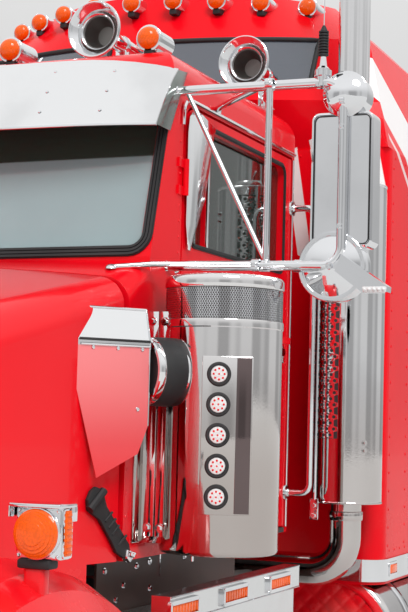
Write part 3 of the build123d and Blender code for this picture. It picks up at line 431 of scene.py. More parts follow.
def cutPlate(name, points, push, soft=0):   # a flat outline given its thickness
    outline(points)
    bpy.ops.mesh.edge_face_add()
    pull(Vector(push) / 1000)
    tidy()
    piece = named(name)
    if soft:
        apply(piece, "BEVEL", width=soft / 1000, segments=2, angle_limit=math.radians(40))
    return piece


def ringPlate(name, corners, width, push, round=0, segments=4):   # a frame cut from a flat outline with rounded corners
    outline(corners)
    bpy.ops.mesh.edge_face_add()
    if round:
        bpy.ops.mesh.bevel(offset=round / 1000, segments=segments, affect="VERTICES")
    bpy.ops.mesh.select_mode(type="FACE")
    bpy.ops.mesh.select_all(action="SELECT")
    bpy.ops.mesh.inset(thickness=width / 1000)
    bpy.ops.mesh.delete(type="FACE")
    bpy.ops.mesh.select_all(action="SELECT")
    pull(Vector(push) / 1000)
    tidy()
    return named(name)


def onSide(x, s0, z0, s1, z1):   # four corners on a wall that faces sideways
    return [(x, s0, z0), (x, s1, z0), (x, s1, z1), (x, s0, z1)]


def onFront(station, x0, z0, x1, z1):   # and on one that faces forward
    return [(x0, station, z0), (x1, station, z0), (x1, station, z1), (x0, station, z1)]


def row(count, start, step):   # evenly spaced places
    return [tuple(first + more * k for first, more in zip(start, step)) for k in range(count)]


def rod(name, points, radius, bend=0, sides=3):   # a round bar along straight runs with rounded corners
    outline(points)
    if bend and len(points) > 2:
        bpy.ops.object.mode_set(mode="OBJECT")
        ends = (spot(points[0]), spot(points[-1]))
        for vertex in bpy.context.object.data.vertices:
            vertex.select = all((vertex.co - end).length > 1e-5 for end in ends)
        bpy.ops.object.mode_set(mode="EDIT")
        bpy.ops.mesh.bevel(offset=bend / 1000, segments=6, affect="VERTICES")
    bpy.ops.object.mode_set(mode="OBJECT")
    bpy.ops.object.convert(target="CURVE")
    line = bpy.context.object.data
    line.bevel_depth = radius / 1000
    line.bevel_resolution = sides
    line.use_fill_caps = True
    bpy.ops.object.convert(target="MESH")
    bpy.ops.object.mode_set(mode="EDIT")
    tidy()
    return named(name)


def dome(name, radius, height, rings=3, sides=12):   # a round head standing up from the origin: a disc, extruded and narrowed
    settle()
    bpy.ops.mesh.primitive_circle_add(vertices=sides, radius=radius / 1000, fill_type="NGON")
    piece = named(name)
    editAll()
    for ring in range(rings):
        low, high = (math.radians(90 * step / rings) for step in (ring, ring + 1))
        narrow = max(math.cos(high), 0.02) / max(math.cos(low), 0.02)
        pull((0, 0, (math.sin(high) - math.sin(low)) * height / 1000))
        bpy.ops.transform.resize(value=(narrow, narrow, 1), center_override=(0, 0, 0))
    tidy()
    return piece


def hexHead(name, radius, height):   # a bolt head with its washer, standing up from the origin
    settle()
    bpy.ops.mesh.primitive_circle_add(vertices=18, radius=radius * 1.5 / 1000, fill_type="NGON")
    washer = named(name + "Washer")
    editAll()
    pull((0, 0, height * 0.25 / 1000))
    tidy()
    settle()
    bpy.ops.mesh.primitive_cylinder_add(vertices=6, radius=radius / 1000, depth=height / 1000, location=(0, 0, height / 2000))
    head = named(name)
    choose(head, lambda middle, normal: normal.z > 0.9)
    stepIn(radius * 0.12 / 1000, (0, 0, height * 0.12 / 1000))
    return joined(name, [head, washer])


def copied(piece, name, move):   # a copy with its own mesh
    new = piece.copy()
    new.data = piece.data.copy()
    new.name = name
    bpy.context.collection.objects.link(new)
    new.data.transform(move)
    if move.determinant() < 0:
        new.data.flip_normals()
    return new


def joined(name, pieces):
    hold(pieces[0])
    for piece in pieces:
        piece.select_set(True)
    if len(pieces) > 1:
        bpy.ops.object.join()
    pieces[0].name = pieces[0].data.name = name
    return pieces[0]


def twoSided(piece):   # the same on the truck's other side, in one piece
    return joined(piece.name, [piece, copied(piece, piece.name + "Other", mirrorX)])


def spread(name, model, places, ways=Matrix.Identity(4)):   # copies at each place, facing one way or each its own; the model goes
    if not isinstance(ways, list):
        ways = [ways] * len(places)
    made = []
    for place, way in zip(places, ways):
        turning = way if isinstance(way, Matrix) else facing(way)
        made.append(copied(model, name + "Part", Matrix.Translation(spot(place)) @ turning))
    bpy.data.objects.remove(model)
    return joined(name, made)


def dress(piece, body, look, smooth=35):
    piece.data.materials.clear()
    piece.data.materials.append(looks[look])
    hold(piece)
    bpy.ops.object.shade_smooth_by_angle(angle=math.radians(smooth))
    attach(piece, body)
    return piece


def mount(name, pieces, look="chrome", body="chassis", both=True, smooth=35):   # one finished piece of several
    piece = joined(name, pieces if isinstance(pieces, list) else [pieces])
    if both:
        twoSided(piece)
    return dress(piece, body, look, smooth)


# Tyres: one turned section with grooves, drive tyres with slots across their ribs
tyrePlan = {
    "radius": 520, "groove": 11, "depth": 15, "steps": 96, "grooves": (-66, -22, 22, 66),
    "side": [(-119, 291), (-119, 306), (-126, 316), (-125, 324), (-134, 352), (-137.5, 400), (-136, 440), (-137.5, 446),
             (-135, 452), (-129, 488), (-122, 506), (-108, 520)],
    "slots": {False: (8, 0.004), True: (3, 0.013)},   # one in so many steps, and how deep: steered and driven tyres
    "front": 1030, "drive": (1081, 738), "frontStation": 900, "driveStations": (6240, 7560), "axleHeight": 520,
}


def makeTyre(name, lugs):
    plan = tyrePlan
    radius, bottom = plan["radius"], plan["radius"] - plan["depth"]
    profile = list(plan["side"])
    for middle in plan["grooves"]:
        low, high = middle - plan["groove"] / 2, middle + plan["groove"] / 2
        profile += [(low, radius), (low + 3, bottom), (high - 3, bottom), (high, radius)]
    profile += [(-along, reach) for along, reach in reversed(plan["side"])]
    tyre = turned(name, profile + plan["side"][:1], plan["steps"], axis=outward)
    every, depth = plan["slots"][lugs]

    def onSlot(middle, normal):
        step = math.floor(math.atan2(middle.z, middle.y) / math.tau * plan["steps"])
        step += (abs(middle.x) < 0.06) + (middle.x > 0)
        return middle.yz.length > 0.512 and step % every == 0 and (abs(middle.x) > 0.03 or not lugs)

    choose(tyre, onSlot)
    bpy.ops.mesh.inset(thickness=0.0015, use_boundary=True)
    shrink = 1 - depth / (radius / 1000)
    bpy.ops.transform.resize(value=(1, shrink, shrink), center_override=(0, 0, 0))
    tidy()
    return tyre


def placeTyres():
    plan = tyrePlan
    z = plan["axleHeight"]
    steer, drive = makeTyre("steerTyre", False), makeTyre("driveTyre", True)
    for side, sign in (("left", 1), ("right", -1)):
        tyre = copied(steer, "tyre", Matrix.Translation(at(sign * plan["front"], plan["frontStation"], z)))
        mount("tyreFront" + side.title(), tyre, "tyreRubber", "wheel_front_" + side, False, smooth=25)
        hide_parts("tyre_front_" + side)
        for number, station in enumerate(plan["driveStations"], start=1):
            both = [copied(drive, "tyre", Matrix.Translation(at(sign * x, station, z))) for x in plan["drive"]]
            name = f"tyresDrive{number}" + side.title()
            tyres = mount(name, both, "tyreRubber", f"wheels_drive{number}_{side}", False, smooth=25)
            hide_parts(f"tyres_drive{number}_{side}")
    bpy.data.objects.remove(steer)
    bpy.data.objects.remove(drive)


placeTyres()
print("tyres done")

# Wheels: nut covers, hub caps and valves on the rims
hubPlan = {
    "ring": 143, "nuts": 10, "nut": [(0, 0), (0, 21), (6, 21), (8, 17), (38, 16), (46, 12), (50, 5), (51, 0)],
    "front": (1118, 1112, [(0, 0), (0, 112), (10, 112), (14, 104), (22, 100), (30, 92), (52, 90), (58, 84), (66, 60),
                           (70, 30), (71, 0)]),   # face, start of the cap, cap
    "drive": (928, 1005, [(0, 0), (0, 110), (12, 110), (16, 100), (92, 97), (104, 90), (116, 60), (122, 25), (123, 0)]),
}


def makeHub(name, body, sign, station, kind):
    plan, z = hubPlan, tyrePlan["axleHeight"]
    face, start, cap = plan[kind]
    places = []
    for k in range(plan["nuts"]):
        angle = math.tau * k / plan["nuts"]
        places.append((sign * face, station + plan["ring"] * math.cos(angle), z + plan["ring"] * math.sin(angle)))
    nuts = spread("hubNuts", turned("hubNut", plan["nut"], 12), places, (sign, 0, 0))
    dish = turned("hubCap", cap, 40, (sign * start, station, z), (sign, 0, 0))
    valve = rod("hubValve", [(sign * (face - 10), station, z + 235), (sign * (face + 45), station, z + 215)], 5)
    mount(name, [nuts, dish, valve], "chrome", body, False)


for side, sign in (("left", 1), ("right", -1)):
    makeHub("hubFront" + side.title(), "wheel_front_" + side, sign, tyrePlan["frontStation"], "front")
    for number, station in enumerate(tyrePlan["driveStations"], start=1):
        makeHub(f"hubDrive{number}" + side.title(), f"wheels_drive{number}_{side}", sign, station, "drive")
print("wheels done")

# Mirrors: housings, glasses, round lamps, light bar and antennas on the frame's loop
mirrorPlan = {
    "low": (1329, 2193, 2205), "high": (1529, 2267, 2629), "corner": 24, "seal": (2191, 1339, 2215, 1519, 2619),
    "insets": ((7, 3), (3, -6), (4, 4)), "round": (1405, 2183, 2146), "lamp": (1438, 2181, 2684), "lens": (1438, 2251, 2684),
    "convex": [(-54, 0), (-54, 110), (-4, 110), (3, 106), (3, 97), (-1, 95), (5, 82), (14, 58), (20, 30), (22, 12), (29, 10),
               (30, 0)],
    "housing": [(-70, 0), (-70, 70), (-10, 71), (-8, 73), (-3, 73), (-1, 70), (8, 62), (18, 46), (25, 26), (29, 12), (30, 0)],
    "amber": [(0, 0), (0, 60), (8, 57), (9, 50), (14, 48), (15, 36), (19, 34), (20, 18), (23, 14), (24, 0)],
    "studs": [(1436, 2160, 2268), (1436, 2160, 2578), (1405, 2152, 2146)],
    "clamps": (((1200, 2152, 2722), outward), ((1200, 2148, 2148), outward), ((1436, 2177, 2660), upward),
               ((1300, 2174, 2148), outward), ((1180, 2121, 2147), outward)),
    "feet": [(786, 1905, 2122), (880, 2183, 2149), (880, 2135, 2722), (880, 2500, 2728), (880, 2110, 2148)],
    "bar": ((1516, 2140, 2061), (1590, 2150, 2079)), "led": (1523, 2140, 2070), "antenna": (1366, 2178, 2722),
    "base": [(-14, 0), (-14, 26), (-4, 26), (-4, 20), (18, 20), (20, 27), (38, 27), (40, 20), (44, 20), (52, 12), (84, 8),
             (84, 0)],
}


def makeMirrors():
    plan = mirrorPlan
    shell = block("mirrorHousings", plan["low"], plan["high"], 0)
    choose(shell, lambda middle, way: abs(way.y) > 0.9, "EDGE")
    bpy.ops.mesh.bevel(offset=plan["corner"] / 1000, segments=6, affect="EDGES")
    for sign in (-1, 1):
        choose(shell, lambda middle, normal: normal.y * sign > 0.9)
        for width, rise in plan["insets"]:
            stepIn(width / 1000, (0, sign * rise / 1000, 0))
    mount("mirrorHousings", shell, smooth=25)
    mount("mirrorSeals", ringPlate("mirrorSeals", onFront(*plan["seal"]), 3, (0, -2, 0), 18), "blackRubber")
    convex = turned("mirrorConvex", plan["convex"], 48, plan["round"], forward)
    studs = spread("mirrorStuds", hexHead("mirrorStud", 7, 6), plan["studs"], forward)
    mount("mirrorConvex", [convex, studs])
    mount("mirrorLamps", turned("mirrorLamps", plan["housing"], 40, plan["lamp"], forward))
    mount("mirrorLampLenses", turned("mirrorLampLenses", plan["amber"], 32, plan["lens"], backward), "amberLens")
    fittings = []
    for (x, station, z), way in plan["clamps"]:
        fittings += [turned("clamp", hoop(-12, 12, 14, 20), 16, (x, station, z), way),
                     block("lug", (x - 8, station - 30, z - 7), (x + 8, station - 16, z + 7), 2)]
    ways = [(0.1, -0.2, 1)] + [outward] * 4
    mount("mirrorFittings", fittings + [spread("mirrorFeet", dome("mirrorFoot", 18, 12, 3, 16), plan["feet"], ways)])
    leds = spread("leds", dome("led", 6, 5, 3, 10), row(5, plan["led"], (15, 0, 0)), forward)
    mount("mirrorLedBars", [block("mirrorLedBars", *plan["bar"]), leds], "clearLens")
    foot = at(*plan["antenna"])
    mount("antennaMounts", turned("antennaMounts", plan["base"], 24, foot))
    coil = [(84, 0), (84, 11)]
    for z in range(86, 167, 9):
        coil += [(z, 16), (z + 5, 16), (z + 7, 12)]
    mount("antennaCoils", turned("antennaCoils", coil + [(172, 9), (182, 4), (182, 0)], 18, foot), "blackRubber")
    bow = [foot + Vector(way) for way in ((0, 0, 0.18), (0.002, 0.004, 0.6), (0.008, 0.015, 0.95))]
    mount("antennaWhips", rod("antennaWhips", bow, 1.6, 90))


makeMirrors()
print("mirrors done")

# Visor: a curved sheet that drops towards its ends, end plates, edge bead and bolts
visorPlan = {
    "half": 892, "straight": 520, "bow": 9000, "steps": 24, "droop": 40, "wall": 6, "low": 2585, "high": 2833,
    "line": ((1930, 2585), (1950, 2624), (1971, 2662), (1995, 2702), (2020, 2743), (2052, 2790), (2088, 2833)),
    "back": [(885, 2215, 2796), (884, 2160, 2700), (883, 2095, 2580)], "endX": 886, "out": (0, -0.85, 0.5),
    "boltColumns": (-690, -480, -230, 230, 480, 690), "boltRows": ((1956, 2637), (2000, 2712), (2052, 2790)),
}


def visorPoint(x, station, z, out=0):
    plan = visorPlan
    end = max(abs(x) - plan["straight"], 0) / (plan["half"] - plan["straight"])
    drop = end * end * (6 + plan["droop"] * (z - plan["low"]) / (plan["high"] - plan["low"]))
    return at(x, station + x * x / (2 * plan["bow"]) + out * plan["out"][1], z - drop + out * plan["out"][2])


def makeVisor():
    plan = visorPlan
    half, steps = plan["half"], plan["steps"]
    outline([(0, station, z) for station, z in plan["line"]])
    for step in range(steps):
        pull((0.1, 0, 0))
    tidy()
    sheet = named("visorSheet")
    for vertex in sheet.data.vertices:
        x = -half + 2 * half * round(vertex.co.x / 0.1) / steps
        vertex.co = visorPoint(x, *min(plan["line"], key=lambda place: abs(place[1] / 1000 - vertex.co.z)))
    apply(sheet, "SOLIDIFY", thickness=plan["wall"] / 1000, offset=0)
    mount("visorSheet", sheet, "mirrorSteel", both=False, smooth=50)
    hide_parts("visor")
    edge = [visorPoint(half, station, z) for station, z in plan["line"]]
    for point in edge:
        point.x = plan["endX"] / 1000
    # the end plates carry that painted dark reflection
    mount("visorEnds", cutPlate("visorEnds", edge + plan["back"], (4, 0, 0), 1.5), "visorEndPaintedReflection")
    bead = rod("visorBead", [visorPoint(-half + 2 * half * k / 20, 1931, 2584) for k in range(21)], 5)
    bolts = [visorPoint(x, station, z, 3) for x in plan["boltColumns"] for station, z in plan["boltRows"]]
    mount("visorTrim", [bead, spread("visorBolts", dome("visorBolt", 6, 4, 2, 12), bolts, plan["out"])], both=False)
    stays = [block("stay", (x - 4, 2050 + x * x / (2 * plan["bow"]), 2740), (x + 4, 2122, 2775), 1) for x in (-600, 0, 600)]
    mount("visorStays", stays, "brushedSteel", both=False)


makeVisor()

# Windscreen: ribbed rubber around the panes, centre strip and a fringe inside the glass
screenPlan = {
    "foot": (1985, 2165), "head": (2125, 2700), "half": 879, "low": 2166, "high": 2674, "round": 76,
    "out": Vector((0, -0.967, 0.253)), "beads": ((0, 36, 7), (3, 8, 12), (14, 8, 12), (25, 8, 12)),   # inset, width, thickness
    "strip": (-23, 2196, 23, 2645), "fringe": 826, "fringeTop": 2640, "scallops": 72,
}


def screenPoint(x, z, out):   # a place on the sloping screen plane, and so many millimetres off it
    (s0, z0), (s1, z1) = screenPlan["foot"], screenPlan["head"]
    return at(x, s0 + (z - z0) * (s1 - s0) / (z1 - z0), z) + screenPlan["out"] * out / 1000


def makeScreen():
    plan = screenPlan
    rubber = []
    for inset, width, thick in plan["beads"]:
        box = (inset - plan["half"], plan["low"] + inset, plan["half"] - inset, plan["high"] - inset)
        corners = [screenPoint(x, z, -2) for x, _, z in onFront(0, *box)]
        rubber.append(ringPlate("bead", corners, width, plan["out"] * thick, plan["round"] - inset, 6))
    corners = [screenPoint(x, z, -2) for x, _, z in onFront(0, *plan["strip"])]
    mount("screenRubber", rubber + [cutPlate("strip", corners, plan["out"] * 9, 3)], "blackRubber", both=False, smooth=30)
    end = plan["fringe"]
    points = [screenPoint(x, plan["fringeTop"], -24) for x in (-end, end)]
    for k in range(plan["scallops"]):   # scalloped lower edge
        points.append(screenPoint(end - k * 23.25, 2562 + 16 * abs(math.sin(math.pi * k / 9)), -24))
    mount("screenFringe", cutPlate("screenFringe", points, (0, 4, 0)), "cabTrim", both=False)


makeScreen()
print("front of the cab done")

# Doors: window seals, vent shades, division bars, handles, inner trim, pillar rivets, gutters and grab bars
doorPlan = {
    "skin": 880, "window": (2290, 2240, 3185, 2648), "round": 35, "seals": ((-12, 16, 4), (-6, 5, 7)),   # inset, width, thickness
    "shade": ((2252, 2216), (2232, 2300), (2230, 2600), (2240, 2656), (2268, 2680), (2332, 2684), (2462, 2656), (2428, 2577),
              (2413, 2500), (2377, 2392), (2318, 2300), (2270, 2216)),
    "gutter": [(886, 2196, 2620), (886, 2202, 2690), (886, 2240, 2712), (886, 3285, 2712)],
    "grab": [(884, 3280, 1392), (975, 3282, 1392), (975, 3282, 2500), (884, 3280, 2500)],
    "grabEnd": [(0, 0), (0, 32), (7, 30), (10, 17), (16, 15), (16, 0)],
    "doorRivets": row(15, (880, 2300, 1290), (0, 60, 0)) + row(19, (880, 3236, 1330), (0, 0, 70)),
    "cabRivets": row(9, (880, 2196, 2200), (0, -0.4, 52)) + row(10, (880, 1866, 1300), (0, 0, 70))
                 + row(20, (880, 3286, 1290), (0, 0, 70)),
}


def makeDoors():
    plan = doorPlan
    x = plan["skin"]
    s0, z0, s1, z1 = plan["window"]
    seals = []
    for inset, width, thick in plan["seals"]:
        corners = onSide(x, s0 + inset, z0 + inset, s1 - inset, z1 - inset)
        seals.append(ringPlate("seal", corners, width, (thick, 0, 0), plan["round"] - inset, 5))
    shade = cutPlate("shade", [(x + 8, station, z) for station, z in plan["shade"]], (3, 0, 0), 1)
    bright = [
        block("divisionBar", (x - 12, 2437, z0), (x - 2, 2453, z1), 2),
        block("handle", (x, 3080, 1915), (x + 14, 3210, 1945), 6),
        block("escutcheon", (x - 1, 3068, 1890), (x + 3, 3222, 1955), 3),
        turned("lock", [(0, 0), (0, 13), (4, 12), (5, 6), (5, 0)], 20, (x + 2, 3145, 1865), outward),
    ]
    trim = block("trim", (808, 2300, 1330), (821, 3215, 2215), 5)
    choose(trim, lambda middle, normal: normal.x < -0.9)
    stepIn(0.06, (0.006, 0, 0))
    trims = [trim, block("armrest", (752, 2560, 1860), (812, 3040, 1905), 14, 4),
             block("pocket", (780, 2420, 1380), (812, 3100, 1560), 10, 3)]
    rivets = spread("rivets", dome("doorRivet", 5, 2.5, 2, 8), plan["doorRivets"], outward)
    for name, pieces, look in (("windowSeal", seals, "blackRubber"), ("ventShade", [shade], "mirrorSteel"),
                               ("doorBright", bright, "chrome"), ("doorTrim", trims, "cabTrim"),
                               ("doorRivets", [rivets], "redPaint")):
        left = joined(name + "Left", pieces)
        right = copied(left, name + "Right", mirrorX)
        mount(name + "Left", left, look, "door_left", False)
        mount(name + "Right", right, look, "door_right", False)
    bars = [
        rod("gutter", plan["gutter"], 7, 24),
        rod("grabBar", plan["grab"], 13, 34, 4),
        spread("grabEnds", turned("grabEnd", plan["grabEnd"], 24), [(880, 3280, 1392), (880, 3280, 2500)], outward),
        rod("shieldStay", [(985, 3322, 1366), (985, 3322, 2600)], 8),
        block("stayTab", (968, 3316, 1290), (1002, 3324, 1372), 3),
        spread("stayBolts", hexHead("stayBolt", 9, 7), [(985, 3316, 1345), (985, 3316, 1306)], forward),
        rod("doorEdge", [(884, 3274, 1262), (884, 3274, 2690)], 5),
    ]
    mount("sideBars", bars)
    uneven = [(x, station, 2722 + 4 * math.sin(station)) for station in range(2300, 3290, 66)]
    mount("cabRivets", spread("cabRivets", dome("cabRivet", 5.5, 3, 2, 10), plan["cabRivets"] + uneven, outward), "redPaint")


makeDoors()
print("doors done")

# Air cleaners: perforated band, five lamps, mirror strip, boots and brackets
cleanerPlan = {
    "centre": (1100, 2065), "band": (180.5, 1966, 2062, 7.6, 5.4),   # radius, low, high, step, hole
    "plateTurn": 24, "plateFace": 195, "plate": (-66, 84, 1389, 1853),
    "can": [(1264, 0), (1264, 172), (1266, 177), (1271, 180), (1278, 181), (1940, 181), (1943, 184), (1962, 184), (1965, 183),
            (1965, 177), (2063, 177), (2063, 183), (2066, 184), (2088, 184), (2095, 181), (2099, 177), (2101, 169), (2101, 0)],
    "lampSide": -17, "lampHeights": (1800, 1711, 1621, 1531, 1441), "dotRing": 16,
    "grommet": [(-2, 0), (-2, 36), (5, 36), (9, 32), (9, 28), (5, 25), (2, 25), (2, 0)],
    "lens": [(2, 0), (2, 25), (6, 25), (9, 23), (10, 18), (11, 0)], "strip": (36, 1393, 80, 1849),
    "boot": ((924, 1856, 1805), (0.53, 0.85, 0)),
    "bootSkin": [(5, 0), (5, 88), (18, 90), (20, 99), (28, 102), (60, 104), (104, 104), (150, 104), (150, 0)],
    "bootClamp": [(0, 89), (0, 98), (4, 102), (20, 103), (24, 101), (24, 89), (0, 89)],
    "bootRim": [(98, 103), (98, 107), (101, 110), (107, 110), (110, 107), (110, 103), (98, 103)],
    "point": [(820, 1948, 1552), (842, 1948, 1574), (894, 1948, 1590), (894, 1948, 1345), (868, 1948, 1380), (836, 1948, 1480)],
    "drain": [(0, 0), (0, 12), (6, 12), (8, 5), (26, 5), (28, 0)],
    "bolts": [(914, 1945, 1336), (955, 1945, 1336), (914, 1945, 1960), (955, 1945, 1960)],
}


def meshSleeve(name, centre, radius, low, high, step, hole, span=(0, 360)):   # one pierced cell, copied round and up
    settle()
    bpy.ops.mesh.primitive_circle_add(vertices=6, radius=hole / 2000, fill_type="NOTHING")
    cell = named(name)
    editAll()
    pull()
    grow = step / hole / math.cos(math.radians(30))
    bpy.ops.transform.resize(value=(grow, grow, 1), center_override=(0, 0, 0))
    pitch, rise = step / 1000, step * 0.866 / 1000
    around = int(math.radians(span[1] - span[0]) * radius / step)
    for count, offset in ((around, (pitch, 0, 0)), (int((high - low) / rise / 1000), (0, rise, 0))):
        apply(cell, "ARRAY", count=count, use_relative_offset=False, use_constant_offset=True,
              constant_offset_displace=offset, use_merge_vertices=True, merge_threshold=0.0004)
    for vertex in cell.data.vertices:   # every other row stands half a cell on
        x, y, _ = vertex.co
        share = (x / pitch + 0.5 * (round(y / rise) % 2)) / around
        angle = math.radians(span[0] + share * (span[1] - span[0]))
        z = min(max(low + step * 0.5 + y * 1000, low), high)
        vertex.co = at(centre[0] + math.cos(angle) * radius, centre[1] + math.sin(angle) * radius, z)
    bpy.ops.object.mode_set(mode="EDIT")
    tidy()
    apply(cell, "SOLIDIFY", thickness=0.0016)
    return cell


def makeCleaners():
    plan = cleanerPlan
    x, station = plan["centre"]
    radius, low, high, step, hole = plan["band"]
    sleeve = meshSleeve("cleanerScreens", plan["centre"], radius, low, high, step, hole)
    mount("cleanerScreens", sleeve, smooth=20)
    mount("cleanerCores", turned("core", hoop(low, high, 177.3, 178), 64, (x, station, 0)), "splashBoard")
    angle = math.radians(plan["plateTurn"])
    out = Vector((math.sin(angle), -math.cos(angle), 0))
    along = Vector((math.cos(angle), math.sin(angle), 0))

    def onPlate(side, z, off=0):
        return at(x, station, z) + (out * (plan["plateFace"] + off) + along * side) / 1000

    left, right, foot, head = plan["plate"]
    ends = [onPlate(left, foot), onPlate(left, foot, -58), onPlate(right, foot, -58), onPlate(right, foot)]
    cleaners = mount("cleanerCans", [
        turned("can", plan["can"], 96, (x, station, 0)),
        cutPlate("lampPlate", ends, (0, 0, head - foot), 2),
        block("bracketSheet", (875, 1947, 1290), (1000, 1953, 1750), 1),
        block("bracketFlange", (878, 1905, 1290), (885, 1953, 1750), 1),
        *(block("strap", (875, 2105, z), (x, 2155, z + 50), 4) for z in (1400, 1950)),
    ], "cleanerSteel")
    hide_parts("air_cleaners")
    side, heights = plan["lampSide"], plan["lampHeights"]
    spots = [onPlate(side, z) for z in heights]
    mount("cleanerGrommets", spread("grommets", turned("grommet", plan["grommet"], 36), spots, out), "blackRubber")
    mount("cleanerLenses", spread("lenses", turned("lens", plan["lens"]), spots, out), "clearLens")
    ring = [(plan["dotRing"] * math.cos(math.tau * k / 8), plan["dotRing"] * math.sin(math.tau * k / 8)) for k in range(8)]
    dots = [onPlate(side + across, z + up, 10.4) for z in heights for across, up in ring + [(0, 0)]]
    mount("cleanerLampDots", spread("dots", dome("dot", 3.4, 1.6, 2, 8), dots, out), "redLens")
    corners = [onPlate(across, z) for across, _, z in onFront(0, *plan["strip"])]
    mount("cleanerStrips", cutPlate("strip", corners, out * 3, 1), "darkMirror")
    start, way = plan["boot"]
    mount("cleanerBoots", turned("boot", plan["bootSkin"], 64, start, way), "blackRubber")
    mount("cleanerHardware", [
        turned("bootClamp", plan["bootClamp"], 64, start, way),
        turned("bootRim", plan["bootRim"], 64, start, way),
        *(cutPlate("bracketStrip", [(x0, 1945, 1310), (x1, 1945, 1310), (x1, 1945, 1700), (x1, 1945, 1990), (x0, 1945, 1990)],
                   (0, 3, 0), 1) for x0, x1 in ((894, 934), (940, 972))),
        cutPlate("bracketPoint", plan["point"], (0, 3, 0), 1),
        spread("bracketBolts", hexHead("bracketBolt", 9, 7), plan["bolts"], forward),
        turned("canDrain", plan["drain"], 12, (x - 60, station - 60, 1264), (0, 0, -1)),
    ], "mirrorSteel")
    bolt = spread("tabBolt", hexHead("tabHead", 10, 9), [(846, 1940, 1513)], forward)
    mount("cleanerTabs", [block("redTab", (832, 1940, 1500), (858, 1950, 1526), 3), bolt], "redPaint")


makeCleaners()
print("air cleaners done")

# Roof lamps: amber lenses in bright rings, stood ahead of the raised roof's bowed front
lampPlan = {
    "cab": [(x, 2190, 2915) for x in (-755, -230, 0, 230, 755)], "sleeper": (-721, -550, -377, -193, 0, 193, 377, 550, 721),
    "height": 3487, "arcMiddle": 3662.2, "arcRadius": 1040.4, "stand": 75,
    "lens": [(-6, 0), (-6, 38), (3, 38), (10, 37), (17, 34), (23, 30), (28, 24), (32, 16), (34, 8), (34.5, 0)],
    "ring": [(-14, 38), (-14, 44), (2, 45), (4, 42), (4, 38), (-14, 38)],
}


def makeRoofLamps():
    plan = lampPlan
    places = list(plan["cab"])
    for x in plan["sleeper"]:
        station = plan["arcMiddle"] + plan["arcRadius"] - math.sqrt(plan["arcRadius"] ** 2 - x * x)
        places.append((x, station - plan["stand"], plan["height"]))
    lenses = spread("lenses", turned("lens", plan["lens"]), places, forward)
    mount("roofLampLenses", lenses, "amberLens", both=False)
    mount("roofLampRings", spread("rings", turned("ring", plan["ring"], 28), places, forward), both=False)
    wedge = block("wedge", Vector((-0.017, -0.004, -0.062)), Vector((0.017, 0.075, -0.03)), 5)
    mount("roofLampPads", spread("pads", wedge, places), "blackRubber", both=False)


makeRoofLamps()

# Bonnet: beads of the deflector plates, rubber latches and the long middle hinge
bonnetPlan = {
    "foot": (800, 1600), "turn": (166, 219), "run": 275, "fold": 1890, "top": 1985, "lean": 30,
    "latch": ((1680, 1426), (1694, 1452), (1712, 1464), (1744, 1455), (1764, 1405), (1818, 1346), (1872, 1290), (1877, 1272),
              (1840, 1250), (1812, 1268), (1788, 1302), (1735, 1366), (1686, 1394)),
    "ribs": ((1752, 1362, 26), (1768, 1342, 26), (1784, 1322, 26), (1812, 1290, 28)),   # station, height, rise
    "latchFoot": ((1846, 1276), (1905, 1262), (1862, 1236), (1842, 1250)),
    "hinge": [(0, 232, 1713), (0, 560, 1790), (0, 900, 1872), (0, 1360, 2000), (0, 1825, 2133)],
}


def onBonnet(station, z, out=2):   # a place on the bonnet's side or, behind it, on the cowl
    half = 650 + (station - 900) * 0.2387 if station < 1832 else 880
    return (half + out, station, z)


def makeBonnet():
    plan = bonnetPlan
    angle = math.atan2(*plan["turn"])
    turnX, turnY = math.cos(angle), math.sin(angle)
    x0, s0 = plan["foot"]
    run, fold, top, lean = plan["run"], plan["fold"], plan["top"], plan["lean"]

    def onDeflector(out, along, z):
        return (x0 + out * turnX + along * turnY, s0 - out * turnY + along * turnX, z)

    # a black rod along the fold: the dark line of reflection on the rolled edge, painted in as a part
    dark = rod("deflectorReflectionLine", [onDeflector(1, 46, fold), onDeflector(1, run, fold)], 4)
    mount("deflectorReflectionLines", dark, "blackRubber", "hood")
    bolts = [onDeflector(0, along, 1866) for along in (90, 170, 250)] + [onDeflector(0, 240, 1690)]
    beads = [
        rod("fold", [onDeflector(1, 50, fold - 15), onDeflector(1, run, fold - 15)], 4),
        rod("lip", [onDeflector(-lean, 75, top), onDeflector(-lean, run, top)], 4),
        rod("tail", [onDeflector(0, run, 1642), onDeflector(0, run, fold), onDeflector(-lean, run, top)], 3),
        spread("deflectorBolts", dome("deflectorBolt", 7, 4, 2, 12), bolts, (turnX, -turnY, 0)),
    ]
    mount("bonnetBright", [twoSided(joined("beads", beads)), rod("hinge", plan["hinge"], 7)], "chrome", "hood", False)
    latches = [cutPlate("strap", [onBonnet(*place) for place in plan["latch"]], (14, -3, 0), 4),
               rod("grip", [onBonnet(1682, 1398, 17), onBonnet(1742, 1452, 17)], 13)]
    latches += [rod("rib", [onBonnet(s, z, 17), onBonnet(s + 30, z + rise, 17)], 4) for s, z, rise in plan["ribs"]]
    mount("latches", latches, "blackRubber", "hood")
    foot = cutPlate("foot", [(883, station, z) for station, z in plan["latchFoot"]], (20, 0, 0), 2)
    studs = spread("latchStuds", hexHead("latchStud", 7, 7), [(903, 1870, 1258), (903, 1856, 1262)], outward)
    mount("latchFeet", [foot, studs])


makeBonnet()

# Indicators on the fenders: round amber lenses in bright boxes with side lenses
indicatorPlan = {
    "centre": (1166, 815, 1401), "left": 1098, "right": 1232, "back": 882,
    "bezel": [(0, 55), (0, 58), (6, 59), (10, 58), (11, 55), (0, 55)],
    "lens": [(0, 0), (0, 56), (6, 56), (9, 53), (10, 50), (13, 49), (14, 44), (17, 43), (18, 36), (20, 35), (21, 27), (23, 26),
             (24, 14), (25, 0)],
}


